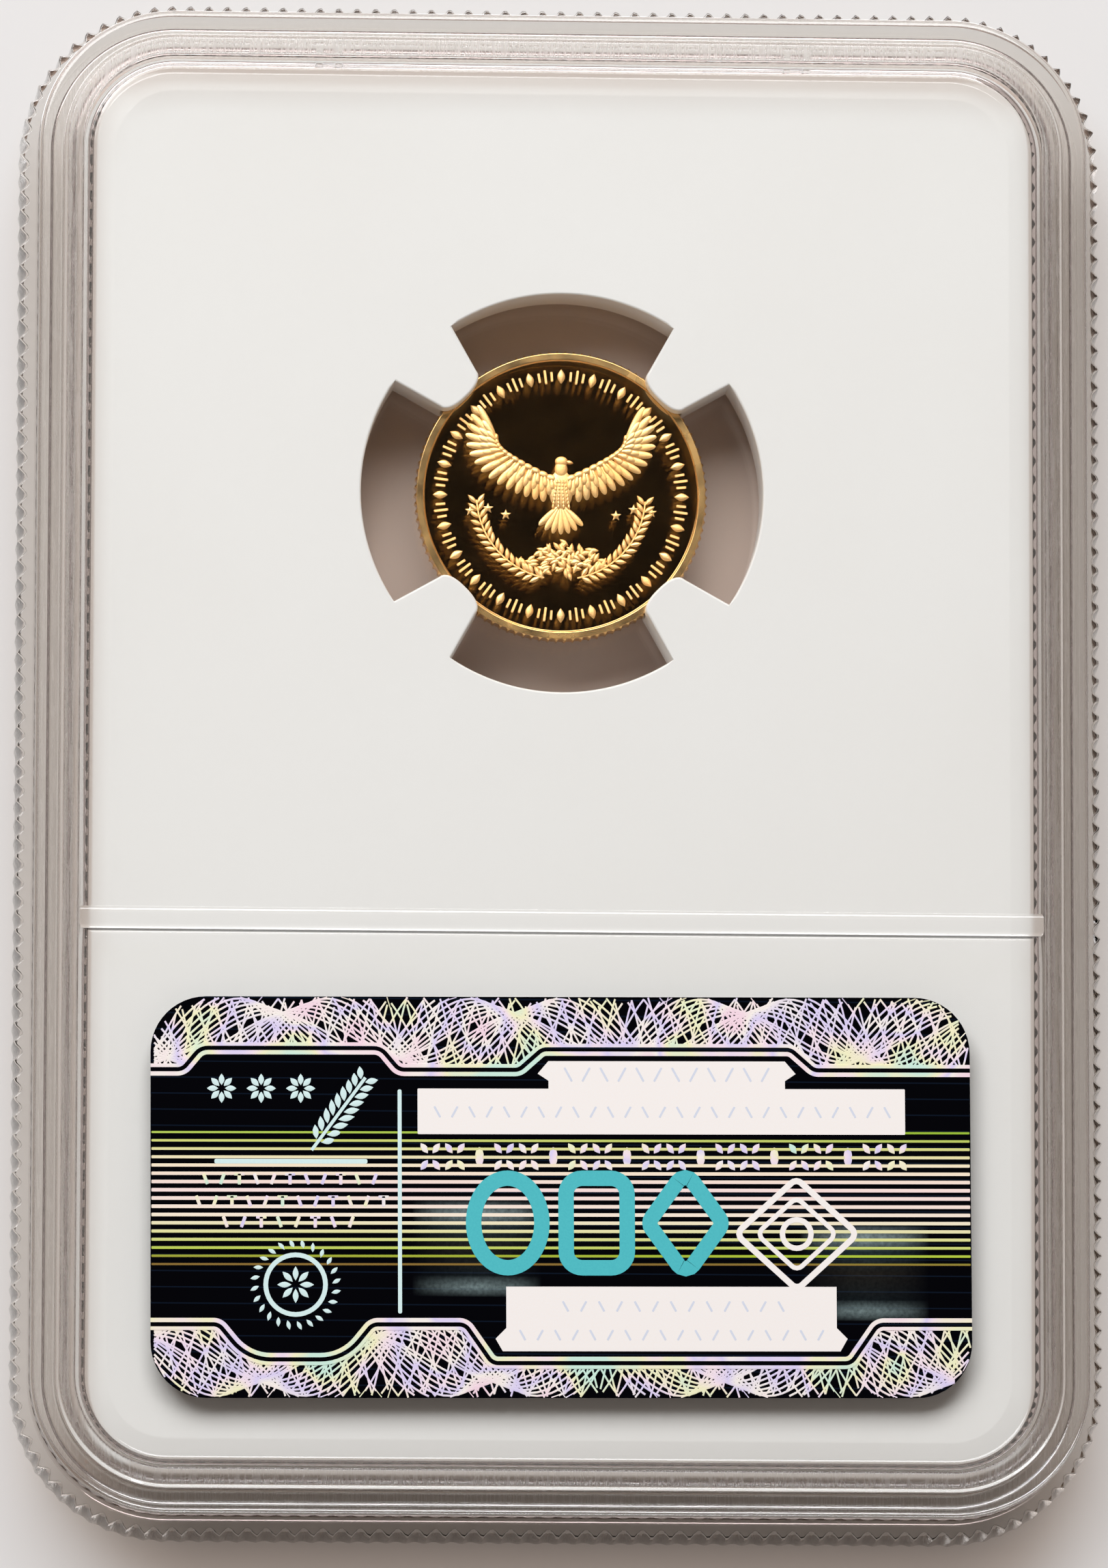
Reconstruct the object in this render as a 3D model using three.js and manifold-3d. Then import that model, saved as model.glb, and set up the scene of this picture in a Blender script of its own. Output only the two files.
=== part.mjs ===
// Graded coin slab: two welded clear half shells around a white core that grips a coin.
// Units are millimetres. The slab lies on its front rim (z = 0) with its back window up.
// X is its width, Y its height (coin end +Y, label end -Y) and Z its thickness.
import * as THREE from "three";
import { mergeVertices } from "three/addons/utils/BufferGeometryUtils.js";
import Module from "manifold-3d";

const wasm = await Module();
wasm.setup();

// ---- Driving dimensions -------------------------------------------------------------------
const WIDTH = 61.2;
const HEIGHT = 86.8;
const THICKNESS = 8.0;
const CORNER_R = 8.8;
const CORNER_STEPS = 10;

const SEAM_Z = 4.0; // where the two half shells meet
const WINDOW_RECESS = 1.0; // each window lies this far below its stacking ridge
const WINDOW_THICK = 1.2;
const WINDOW_EDGE = 4.25; // distances from the outer edge, inwards
const WALL_INNER = 3.0;
const STEP = 1.0; // the rear shell stands back from the front shell by this much
const RIDGE_OUTER = 2.55;
const RIDGE_INNER = 3.6;
const LEDGE_DROP = 0.4; // the ledge outside the rear stacking ridge
const SHELL_CHAMFER = 0.3;
const DRAFT = 0.1; // the rear wall leans in by this much towards its ledge
const RIDGE_SLOPE = 0.15; // and the ridge's outer side by this much
const JOIN = 0.2; // how far a joined solid runs into the one that it joins

const REED_PITCH = 1.05;
const REED_DEPTH = 0.45;
const REED_BASE = 0.9; // the reeded band goes from here up to the seam
const REED_CHAMFER = 0.3;
const REED_LEAN = 0.1; // it is narrower by this much at the seam
const FLANGE_WALL = 0.6; // the plain wall behind the reeds starts here
const RIM_OUTER = 1.3;

const TONGUE_OUTER = 1.9;
const TONGUE_INNER = 2.5;
const TONGUE_HEIGHT = 0.6;
const TONGUE_GAP = 0.08;

const DIVIDER_Y = -9.1;
const DIVIDER_WIDTH = 1.4;
const DIVIDER_DROP = 0.15; // its top is this far below the stacking ridge

const RIB_X = 13.2; // each pair of locating ribs is centred here, left and right
const RIB_SPACING = 1.1;
const RIB_SIZE = [0.4, 0.25, 1.5];

const CORE_GAP = 0.1; // between the core and each window
const CORE_EDGE = 3.3;
const CORE_BEVEL_EDGE = 5.4; // where the core's flat face begins
const CORE_BEVEL_DROP = 0.7;

const COIN_Y = 15.3;
const COIN_D = 16.5;
const COIN_THICK = 1.2;
const COIN_RIM = 0.5;
const COIN_FIELD_DROP = 0.1;
const COIN_STEPS = 96;

const OPENING_R = 11.3;
const OPENING_HALF_DEG = 33.6; // each of the four openings spans this much either side
const PRONG_TIP_R = 7.65;
const PRONG_TIP_WIDTH = 1.9;
const PRONG_NECK_R = 8.3;
const PRONG_NECK_WIDTH = 2.9;
const GRIP_GAP = 0.05;

const LABEL_SIZE = [51.0, 27.0, 0.3];
const LABEL_Y = -25.0;
const LABEL_R = 1.5;
const LABEL_GAP = 0.15;
const SHEET_CORNER_STEPS = 6;

const HOLOGRAM_SIZE = [45.7, 22.4, 0.1];
const HOLOGRAM_Y = -24.5;
const HOLOGRAM_R = 3.1;

// ---- Derived levels -----------------------------------------------------------------------
const REAR_WINDOW = THICKNESS - WINDOW_RECESS;
const REAR_INNER = REAR_WINDOW - WINDOW_THICK;
const FRONT_WINDOW = WINDOW_RECESS;
const FRONT_INNER = FRONT_WINDOW + WINDOW_THICK;
const CORE_LOW = FRONT_INNER + CORE_GAP;
const CORE_HIGH = REAR_INNER - CORE_GAP;
const CUT = 1.0; // how far a cutting solid runs past the face that it cuts

// ---- Outlines -----------------------------------------------------------------------------

// Points of a rounded rectangle, anticlockwise, with corners of the given number of steps.
function roundedRect(width, height, radius, steps = CORNER_STEPS) {
  const points = [];
  for (let corner = 0; corner < 4; corner++) {
    const cx = (corner === 0 || corner === 3 ? 1 : -1) * (width / 2 - radius);
    const cy = (corner < 2 ? 1 : -1) * (height / 2 - radius);
    for (let i = 0; i <= steps; i++) {
      const a = ((corner + i / steps) * Math.PI) / 2;
      points.push(new THREE.Vector2(cx + radius * Math.cos(a), cy + radius * Math.sin(a)));
    }
  }
  return points;
}

// The slab's own outline, moved inwards.
function inset(distance) {
  const radius = Math.max(CORNER_R - distance, 0.5);
  return roundedRect(WIDTH - 2 * distance, HEIGHT - 2 * distance, radius);
}

// The reeded outline: whole reeds along each side and round each corner, crest then valley.
function reeded(distance) {
  const straightX = WIDTH - 2 * CORNER_R;
  const straightY = HEIGHT - 2 * CORNER_R;
  const arcReeds = Math.round((CORNER_R * Math.PI) / 2 / REED_PITCH);
  const points = [];
  for (let corner = 0; corner < 4; corner++) {
    const sx = corner === 0 || corner === 3 ? 1 : -1;
    const sy = corner < 2 ? 1 : -1;
    const centre = new THREE.Vector2((sx * straightX) / 2, (sy * straightY) / 2);
    for (let i = 0; i < 2 * arcReeds; i++) {
      const a = ((corner + i / (2 * arcReeds)) * Math.PI) / 2;
      const r = CORNER_R - distance - (i % 2) * REED_DEPTH;
      points.push(new THREE.Vector2(Math.cos(a), Math.sin(a)).multiplyScalar(r).add(centre));
    }
    const length = corner % 2 === 0 ? straightX : straightY;
    const reeds = Math.round(length / REED_PITCH);
    const normal = new THREE.Vector2(0, 1).rotateAround(new THREE.Vector2(), (corner * Math.PI) / 2);
    const along = new THREE.Vector2(-1, 0).rotateAround(new THREE.Vector2(), (corner * Math.PI) / 2);
    for (let i = 0; i < 2 * reeds; i++) {
      const r = CORNER_R - distance - (i % 2) * REED_DEPTH;
      const place = centre.clone().addScaledVector(along, (i / (2 * reeds)) * length);
      points.push(place.addScaledVector(normal, r));
    }
  }
  return points;
}

// The coin opening: four arcs on the cardinal directions, with a prong between each two.
function coinOpening() {
  const half = THREE.MathUtils.degToRad(OPENING_HALF_DEG);
  const arcSteps = 14;
  const tipRound = 0.15;
  const points = [];
  for (let quarter = 0; quarter < 4; quarter++) {
    const middle = (quarter * Math.PI) / 2;
    for (let i = 0; i <= arcSteps; i++) {
      const a = middle - half + (2 * half * i) / arcSteps;
      points.push(new THREE.Vector2(OPENING_R * Math.cos(a), OPENING_R * Math.sin(a)));
    }
    // Prong, on the diagonal after this opening: neck, rounded tip, neck.
    const diagonal = middle + Math.PI / 4;
    const along = new THREE.Vector2(Math.cos(diagonal), Math.sin(diagonal));
    const across = new THREE.Vector2(-along.y, along.x);
    const corner = (r, w) => along.clone().multiplyScalar(r).addScaledVector(across, w);
    const tipHalf = PRONG_TIP_WIDTH / 2;
    const neckHalf = PRONG_NECK_WIDTH / 2;
    const tip = new THREE.SplineCurve([
      corner(PRONG_NECK_R, -neckHalf),
      corner(PRONG_TIP_R + tipRound, -tipHalf),
      corner(PRONG_TIP_R, 0),
      corner(PRONG_TIP_R + tipRound, tipHalf),
      corner(PRONG_NECK_R, neckHalf),
    ]);
    points.push(...tip.getPoints(10));
  }
  return new THREE.Shape(points);
}

// ---- Solids -------------------------------------------------------------------------------

// Stack of equal-count outlines, each { outline, z }, with a flat cap at both ends. The first is
// the lowest of the outer side and they go up and round to the last.
function stack(sections) {
  const count = sections[0].outline.length;
  const positions = [];
  const index = [];
  for (const { outline, z } of sections) {
    outline.forEach((p) => positions.push(p.x, p.y, z));
  }
  for (let s = 0; s + 1 < sections.length; s++) {
    for (let i = 0; i < count; i++) {
      const a = s * count + i;
      const b = s * count + ((i + 1) % count);
      index.push(a, b, b + count, a, b + count, a + count);
    }
  }
  const low = positions.length / 3;
  positions.push(0, 0, sections[0].z, 0, 0, sections.at(-1).z);
  const last = (sections.length - 1) * count;
  for (let i = 0; i < count; i++) {
    const next = (i + 1) % count;
    index.push(low, next, i, low + 1, last + i, last + next);
  }
  const geometry = new THREE.BufferGeometry();
  geometry.setAttribute("position", new THREE.Float32BufferAttribute(positions, 3));
  geometry.setIndex(index);
  return solid(geometry);
}

// Closed geometry to a manifold solid.
function solid(geometry) {
  geometry.deleteAttribute("normal");
  geometry.deleteAttribute("uv");
  const merged = mergeVertices(geometry, 1e-4);
  return new wasm.Manifold(
    new wasm.Mesh({
      numProp: 3,
      vertProperties: new Float32Array(merged.attributes.position.array),
      triVerts: new Uint32Array(merged.index.array),
    }),
  );
}

// Shape extruded from one level to another.
function slabOf(shape, low, high) {
  const geometry = new THREE.ExtrudeGeometry(shape, { depth: high - low, bevelEnabled: false });
  return solid(geometry.translate(0, 0, low));
}

function box(width, height, low, high, x, y) {
  const geometry = new THREE.BoxGeometry(width, height, high - low);
  return solid(geometry.translate(x, y, (low + high) / 2));
}

// Manifold solid to a named mesh.
function piece(name, body, material) {
  const mesh = body.getMesh();
  const geometry = new THREE.BufferGeometry();
  geometry.setAttribute("position", new THREE.BufferAttribute(mesh.vertProperties, 3));
  geometry.setIndex(new THREE.BufferAttribute(mesh.triVerts, 1));
  geometry.computeVertexNormals();
  const made = new THREE.Mesh(geometry, new THREE.MeshStandardMaterial(material));
  made.name = name;
  return made;
}

// Ring between two insets of the slab's outline.
function ring(outer, inner, low, high) {
  const shape = new THREE.Shape(inset(outer));
  shape.holes.push(new THREE.Path(inset(inner)));
  return slabOf(shape, low, high);
}

// ---- Pieces -------------------------------------------------------------------------------

// Bar across a window, between the stacking ridges.
function divider(low, high) {
  return box(WIDTH - 2 * RIDGE_INNER, DIVIDER_WIDTH, low, high, 0, DIVIDER_Y);
}

function rearShell() {
  const ledge = THICKNESS - LEDGE_DROP;
  const outer = stack([
    { outline: inset(STEP), z: SEAM_Z },
    { outline: inset(STEP + DRAFT), z: ledge - SHELL_CHAMFER },
    { outline: inset(STEP + DRAFT + SHELL_CHAMFER), z: ledge },
    { outline: inset(RIDGE_OUTER), z: ledge },
    { outline: inset(RIDGE_OUTER + RIDGE_SLOPE), z: THICKNESS },
    { outline: inset(RIDGE_INNER), z: THICKNESS },
    { outline: inset(WINDOW_EDGE), z: REAR_WINDOW },
  ]);
  const hollow = slabOf(new THREE.Shape(inset(WALL_INNER)), SEAM_Z - CUT, REAR_INNER);
  const groove = ring(
    TONGUE_OUTER - TONGUE_GAP,
    TONGUE_INNER + TONGUE_GAP,
    SEAM_Z - CUT,
    SEAM_Z + TONGUE_HEIGHT + TONGUE_GAP,
  );
  let shell = outer.subtract(hollow).subtract(groove);
  shell = shell.add(divider(REAR_WINDOW - JOIN, THICKNESS - DIVIDER_DROP));
  const [ribWidth, ribDepth, ribHeight] = RIB_SIZE;
  const ribY = HEIGHT / 2 - WALL_INNER - ribDepth / 2 + JOIN / 2;
  const ribTop = REAR_INNER + JOIN;
  for (const side of [-1, 1]) {
    for (const offset of [-RIB_SPACING / 2, RIB_SPACING / 2]) {
      const x = side * RIB_X + offset;
      shell = shell.add(box(ribWidth, ribDepth + JOIN, ribTop - ribHeight, ribTop, x, ribY));
    }
  }
  return shell;
}

function frontShell() {
  const outer = stack([
    { outline: inset(WINDOW_EDGE), z: FRONT_WINDOW },
    { outline: inset(RIDGE_INNER), z: 0 },
    { outline: inset(RIM_OUTER), z: 0 },
    { outline: inset(FLANGE_WALL), z: REED_BASE - REED_CHAMFER },
    { outline: inset(FLANGE_WALL), z: SEAM_Z },
  ]);
  const grip = stack([
    { outline: reeded(REED_CHAMFER), z: REED_BASE - REED_CHAMFER },
    { outline: reeded(0), z: REED_BASE },
    { outline: reeded(REED_LEAN), z: SEAM_Z },
  ]);
  const hollow = slabOf(new THREE.Shape(inset(WALL_INNER)), FRONT_INNER, SEAM_Z + CUT);
  const cut = slabOf(new THREE.Shape(inset(WALL_INNER)), -CUT, SEAM_Z + CUT);
  const tongue = ring(TONGUE_OUTER, TONGUE_INNER, SEAM_Z - JOIN, SEAM_Z + TONGUE_HEIGHT);
  return outer
    .subtract(hollow)
    .add(grip.subtract(cut))
    .add(tongue)
    .add(divider(DIVIDER_DROP, FRONT_WINDOW + JOIN));
}

function core() {
  const plate = stack([
    { outline: inset(CORE_BEVEL_EDGE), z: CORE_LOW },
    { outline: inset(CORE_EDGE), z: CORE_LOW + CORE_BEVEL_DROP },
    { outline: inset(CORE_EDGE), z: CORE_HIGH - CORE_BEVEL_DROP },
    { outline: inset(CORE_BEVEL_EDGE), z: CORE_HIGH },
  ]);
  const through = slabOf(coinOpening(), CORE_LOW - CUT, CORE_HIGH + CUT).translate([0, COIN_Y, 0]);
  const gripHalf = COIN_THICK / 2 + GRIP_GAP;
  const gripR = COIN_D / 2 + GRIP_GAP;
  const disc = new THREE.CylinderGeometry(gripR, gripR, 2 * gripHalf, COIN_STEPS);
  const grip = solid(disc.rotateX(Math.PI / 2).translate(0, COIN_Y, SEAM_Z));
  const [labelWidth, labelHeight, labelThick] = LABEL_SIZE;
  const recess = [labelWidth + 2 * LABEL_GAP, labelHeight + 2 * LABEL_GAP, labelThick + CUT + GRIP_GAP];
  const pocket = sheet(recess, LABEL_R, CORE_LOW - CUT, LABEL_Y);
  return plate.subtract(through).subtract(grip).subtract(pocket);
}

function coin() {
  const r = COIN_D / 2;
  const half = COIN_THICK / 2;
  const field = half - COIN_FIELD_DROP;
  const edge = 0.08; // small chamfer on the rim's corner
  const profile = [
    new THREE.Vector2(0, -field),
    new THREE.Vector2(r - COIN_RIM - edge, -field),
    new THREE.Vector2(r - COIN_RIM, -half),
    new THREE.Vector2(r - edge, -half),
    new THREE.Vector2(r, -half + edge),
    new THREE.Vector2(r, half - edge),
    new THREE.Vector2(r - edge, half),
    new THREE.Vector2(r - COIN_RIM, half),
    new THREE.Vector2(r - COIN_RIM - edge, field),
    new THREE.Vector2(0, field),
  ];
  const geometry = new THREE.LatheGeometry(profile, COIN_STEPS);
  return solid(geometry.rotateX(Math.PI / 2).translate(0, COIN_Y, SEAM_Z));
}

function sheet([width, height, thick], radius, low, y) {
  const outline = new THREE.Shape(roundedRect(width, height, radius, SHEET_CORNER_STEPS));
  return slabOf(outline, low, low + thick).translate([0, y, 0]);
}

// ---- Assembly -----------------------------------------------------------------------------
const clear = { color: 0xeef0ee, roughness: 0.05, metalness: 0, transparent: true, opacity: 0.35 };

const slab = new THREE.Group();
slab.add(
  piece("front_shell", frontShell(), clear),
  piece("rear_shell", rearShell(), clear),
  piece("core", core(), { color: 0xe7e6e2, roughness: 0.5, metalness: 0 }),
  piece("coin", coin(), { color: 0xdcaa64, roughness: 0.2, metalness: 1 }),
  piece("grading_label", sheet(LABEL_SIZE, LABEL_R, CORE_LOW, LABEL_Y), {
    color: 0xf1ece0,
    roughness: 0.8,
    metalness: 0,
  }),
  piece("security_hologram", sheet(HOLOGRAM_SIZE, HOLOGRAM_R, REAR_WINDOW, HOLOGRAM_Y), {
    color: 0x2a2a33,
    roughness: 0.25,
    metalness: 0.6,
  }),
);

export default slab;
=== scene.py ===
"""Looks of a graded coin slab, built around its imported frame.

Two welded clear half shells hold a white core, which grips a struck gold coin by four prongs. A printed
card lies behind the front window, and a foil sticker is on the outside of the rear window.
Drafts are in millimetres in the frame's own axes, and every mesh is written in metres.
"""

import logging
import math
import random
from dataclasses import dataclass, field
from enum import Enum

import bmesh
import bpy
from mathutils import Matrix, Vector
from mathutils.geometry import tessellate_polygon


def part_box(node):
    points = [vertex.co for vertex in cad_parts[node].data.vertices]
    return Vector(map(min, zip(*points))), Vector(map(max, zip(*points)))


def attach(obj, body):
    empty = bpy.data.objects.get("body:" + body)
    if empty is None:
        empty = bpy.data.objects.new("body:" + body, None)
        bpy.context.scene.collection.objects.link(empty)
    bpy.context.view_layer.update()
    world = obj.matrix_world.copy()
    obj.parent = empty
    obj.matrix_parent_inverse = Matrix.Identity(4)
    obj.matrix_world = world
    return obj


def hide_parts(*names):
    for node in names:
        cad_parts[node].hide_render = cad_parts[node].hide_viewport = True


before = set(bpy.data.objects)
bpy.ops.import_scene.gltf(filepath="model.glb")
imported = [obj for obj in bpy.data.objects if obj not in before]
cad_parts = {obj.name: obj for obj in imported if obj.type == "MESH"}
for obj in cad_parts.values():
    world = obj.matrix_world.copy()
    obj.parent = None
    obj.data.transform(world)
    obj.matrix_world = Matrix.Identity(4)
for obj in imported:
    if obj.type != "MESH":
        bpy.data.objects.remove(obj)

LOG = logging.getLogger("coin_slab")
MM = 0.001
BODY = "root"
LEVEL = 0.99999  # a normal's height, past which its face counts as level
FLUTE_POWER = 1.35  # above 1, the crests between flutes are blunt
Point = tuple[float, float]
Piece = bpy.types.Object
Finish = bpy.types.Material
Tree = bpy.types.NodeTree
Node = bpy.types.Node
Socket = bpy.types.NodeSocket


# ---- Shared helpers -------------------------------------------------------------------------


def linear(hex_colour: str, alpha: float = 1.0) -> tuple[float, float, float, float]:
    """Turns an sRGB hex colour into linear RGBA.

    Args:
        hex_colour: Six hex digits, such as "e7e6e2".
        alpha: The fourth number.

    Returns:
        Linear red, green, blue and alpha.
    """
    parts = [int(hex_colour[i : i + 2], 16) / 255 for i in (0, 2, 4)]
    red, green, blue = (c / 12.92 if c <= 0.04045 else ((c + 0.055) / 1.055) ** 2.4 for c in parts)
    return red, green, blue, alpha


def add(tree: Tree, kind: str, links: dict | None = None, **settings) -> Node:
    """Adds a node to a tree.

    Args:
        tree: The shader or geometry tree.
        kind: The node's type name.
        links: Input name or index to a plain value, or to the output socket that feeds it.
        settings: The node's own properties.

    Returns:
        The new node.
    """
    made = tree.nodes.new(kind)
    for name, value in settings.items():
        setattr(made, name, value)
    for key, value in (links or {}).items():
        if isinstance(value, Socket):
            tree.links.new(value, made.inputs[key])
        else:
            made.inputs[key].default_value = value
    return made


def chain(tree: Tree, kind: str, value: Socket, *steps: tuple) -> Socket:
    """Adds nodes of one type in a row, each fed by the one before.

    Args:
        tree: The shader or geometry tree.
        kind: The nodes' type name.
        value: The socket that feeds the first node.
        steps: Each node's operation, and then its further inputs, if it has any.

    Returns:
        The last node's first output.
    """
    for operation, *others in steps:
        value = add(tree, kind, dict(enumerate([value, *others])), operation=operation).outputs[0]
    return value


def spoke(angle: float) -> Vector:
    """The flat vector of length 1 at an angle."""
    return Vector((math.cos(angle), math.sin(angle)))


def full_turn(count: int) -> list[float]:
    """Equal steps of one full turn, in radians."""
    return [math.tau * i / count for i in range(count)]


def oval(middle: Point, reach: Point, count: int) -> list[Vector]:
    """Points of an oval, from its middle and its half sizes."""
    (x, y), (wide, high) = middle, reach
    return [Vector((x + wide * math.cos(a), y + high * math.sin(a))) for a in full_turn(count)]


def node_box(name: str) -> tuple[Vector, Vector]:
    """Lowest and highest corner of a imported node, in millimetres."""
    low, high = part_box(name)
    return Vector(low) / MM, Vector(high) / MM


@dataclass(frozen=True)
class Station:
    """A place on an outline: the point, its outward normal and its distance along the outline."""

    point: Vector
    normal: Vector
    along: float


@dataclass(frozen=True)
class Outline:
    """Rounded rectangle that the slab's solids are swept round.

    Args:
        width: Size along X.
        height: Size along Y.
        radius: Corner radius.
        centre: Its middle.
    """

    width: float
    height: float
    radius: float
    centre: Point = (0.0, 0.0)

    def stations(self, corner_steps: int, side_steps: tuple[int, int] = (1, 1)) -> list[Station]:
        """Places round the outline, anticlockwise from the right-hand side's top.

        Args:
            corner_steps: Steps in each corner.
            side_steps: Steps along the sides that run in X, and in Y.

        Returns:
            The stations of one full turn.
        """
        straight = (self.width - 2 * self.radius, self.height - 2 * self.radius)
        made, along = [], 0.0
        arc = self.radius * math.pi / 2
        for corner in range(4):
            sx = 1 if corner in (0, 3) else -1
            sy = 1 if corner < 2 else -1
            middle = Vector((self.centre[0] + sx * straight[0] / 2, self.centre[1] + sy * straight[1] / 2))
            for i in range(corner_steps):
                angle = (corner + i / corner_steps) * math.pi / 2
                normal = spoke(angle)
                place = middle + normal * self.radius
                made.append(Station(place, normal, along + arc * i / corner_steps))
            along += arc
            angle = (corner + 1) * math.pi / 2
            normal = spoke(angle)
            side = Vector((-normal.y, normal.x))
            length, steps = straight[corner % 2], side_steps[corner % 2]
            for i in range(steps):
                place = middle + normal * self.radius + side * (length * i / steps)
                made.append(Station(place, normal, along + length * i / steps))
            along += length
        return made

    def points(self, corner_steps: int) -> list[Vector]:
        """The outline's points only."""
        return [s.point for s in self.stations(corner_steps)]


def filleted(corners: list[tuple[float, float, float]], steps: int = 5) -> list[Point]:
    """Rounds the corners of an open profile.

    Args:
        corners: Each (inset, height, fillet radius).
        steps: Steps in each fillet.

    Returns:
        The rounded profile.
    """
    made: list[Point] = []
    for i, (x, y, radius) in enumerate(corners):
        here = Vector((x, y))
        if radius <= 0 or i in (0, len(corners) - 1):
            made.append((x, y))
            continue
        before = (Vector(corners[i - 1][:2]) - here).normalized()
        after = (Vector(corners[i + 1][:2]) - here).normalized()
        half = before.angle(after) / 2
        reach = radius / math.tan(half)
        centre = here + (before + after).normalized() * (radius / math.sin(half))
        start, end = here + before * reach - centre, here + after * reach - centre
        for k in range(steps + 1):
            spoke = start.lerp(end, k / steps).normalized() * radius
            made.append(tuple(centre + spoke))
    return made


class Draft:
    """A mesh being drawn in millimetres, with a material index for each face."""

    def __init__(self) -> None:
        """Starts empty."""
        self.vertices: list[Vector] = []
        self.faces: list[tuple[list[int], int]] = []

    def ring(self, points: list[Vector]) -> list[int]:
        """Adds a ring of points.

        Args:
            points: The ring's points in order.

        Returns:
            Their indices.
        """
        first = len(self.vertices)
        self.vertices.extend(Vector(p) for p in points)
        return list(range(first, first + len(points)))

    def level(self, points: list[Vector], height: float) -> list[int]:
        """Adds a ring of flat points at one height."""
        return self.ring([Vector((*p, height)) for p in points])

    def rings(self, stations: list[Station], profile: list[Point]) -> list[list[int]]:
        """Adds a ring for each (inset, height) of a profile, round an outline's stations."""
        return [self.level([s.point - s.normal * inset for s in stations], z) for inset, z in profile]

    def bridge(self, low: list[int], high: list[int], slot: int = 0) -> None:
        """Joins two closed rings of one length by quads."""
        count = len(low)
        for i in range(count):
            k = (i + 1) % count
            self.faces.append(([low[i], low[k], high[k], high[i]], slot))

    def cap(self, ring: list[int], up: bool, slot: int = 0) -> None:
        """Closes an anticlockwise ring with one flat face that looks up or down."""
        self.faces.append((ring if up else ring[::-1], slot))

    def sweep(self, stations: list[Station], profile: list[Point], slots: list[int] | None = None) -> None:
        """Sweeps a profile of (inset, height) round an outline and caps both of its ends.

        Args:
            stations: The outline's stations.
            profile: From the middle of the underside, outwards and up, to the middle of the top.
            slots: A material index for each stretch of the profile, or none for all 0.
        """
        rings = self.rings(stations, profile)
        for low, high, slot in zip(rings, rings[1:], slots or [0] * (len(rings) - 1)):
            self.bridge(low, high, slot)
        self.cap(rings[0], up=False)
        self.cap(rings[-1], up=True)

    def prism(self, points: list[Vector], low: float, high: float, slot: int = 0) -> None:
        """Extrudes a closed anticlockwise outline from one height to another.

        Args:
            points: The outline.
            low: The height of its underside.
            high: The height of its top.
            slot: The material index.
        """
        under, over = self.level(points, low), self.level(points, high)
        self.bridge(under, over, slot)
        self.cap(under, up=False, slot=slot)
        self.cap(over, up=True, slot=slot)

    def ribbon(self, path: list[Vector], width: float, low: float, high: float, slot: int = 0) -> None:
        """Draws a flat band along an open path.

        Args:
            path: The band's middle.
            width: The band's width.
            low: The height of its underside.
            high: The height of its top.
            slot: The material index.
        """
        left, right = [], []
        for i, here in enumerate(path):
            ahead = Vector(path[min(i + 1, len(path) - 1)]) - Vector(path[max(i - 1, 0)])
            across = Vector((-ahead.y, ahead.x)).normalized() * (width / 2)
            left.append(Vector(here) + across)
            right.append(Vector(here) - across)
        self.prism(right + left[::-1], low, high, slot)

    def loop(self, path: list[Vector], width: float, low: float, high: float, slot: int = 0) -> None:
        """Draws a flat band round a closed anticlockwise path.

        Args:
            path: The band's middle.
            width: The band's width.
            low: The height of its underside.
            high: The height of its top.
            slot: The material index.
        """
        inner, outer = [], []
        for i, here in enumerate(path):
            ahead = Vector(path[(i + 1) % len(path)]) - Vector(path[i - 1])
            across = Vector((ahead.y, -ahead.x)).normalized() * (width / 2)
            outer.append(Vector(here) + across)
            inner.append(Vector(here) - across)
        corners = ((outer, low), (outer, high), (inner, high), (inner, low))
        rings = [self.level(points, z) for points, z in corners]
        for first, second in zip(rings, rings[1:] + rings[:1]):
            self.bridge(first, second, slot)

    def build(self, name: str, materials: list[Finish], sharp: float = 32.0) -> Piece:
        """Turns the draft into an object at the origin.

        Args:
            name: The piece's name.
            materials: One for each material index.
            sharp: Edges that turn by more than this many degrees stay crisp.

        Returns:
            The new object, linked to the scene.
        """
        mesh = bpy.data.meshes.new(name)
        mesh.from_pydata([v * MM for v in self.vertices], [], [f for f, _ in self.faces])
        mesh.polygons.foreach_set("material_index", [slot for _, slot in self.faces])
        for material in materials:
            mesh.materials.append(material)
        made = bpy.data.objects.new(name, mesh)
        bpy.context.collection.objects.link(made)
        smooth(made, sharp)
        return made


def smooth(piece: Piece, sharp: float = 32.0) -> None:
    """Shades a piece smooth, but for its level faces and its sharp edges.

    The level faces come last, because setting the sharp edges turns every face smooth.

    Args:
        piece: The piece.
        sharp: Edges that turn by more than this many degrees stay crisp.
    """
    mesh = piece.data
    mesh.set_sharp_from_angle(angle=math.radians(sharp))
    mesh.polygons.foreach_set("use_smooth", [abs(p.normal.z) < LEVEL for p in mesh.polygons])
    mesh.update()


def joined(first: Piece, others: list[Piece]) -> Piece:
    """Unites closed solids into the first one, so that no face is left inside it.

    Args:
        first: The solid that stays.
        others: The solids that it takes in, which are removed.

    Returns:
        The first solid.
    """
    for other in others:
        union = first.modifiers.new("union", "BOOLEAN")
        union.operation = "UNION"
        union.solver = "EXACT"
        union.object = other
    baked(first)
    for other in others:
        bpy.data.objects.remove(other)
    smooth(first)
    return first


def baked(piece: Piece) -> None:
    """Replaces a piece's mesh with its evaluated one and removes its modifiers.

    Args:
        piece: The object, which keeps its name.
    """
    evaluated = piece.evaluated_get(bpy.context.evaluated_depsgraph_get())
    mesh = bpy.data.meshes.new_from_object(evaluated)
    piece.modifiers.clear()
    old, piece.data = piece.data, mesh
    bpy.data.meshes.remove(old)
    mesh.name = piece.name


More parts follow.
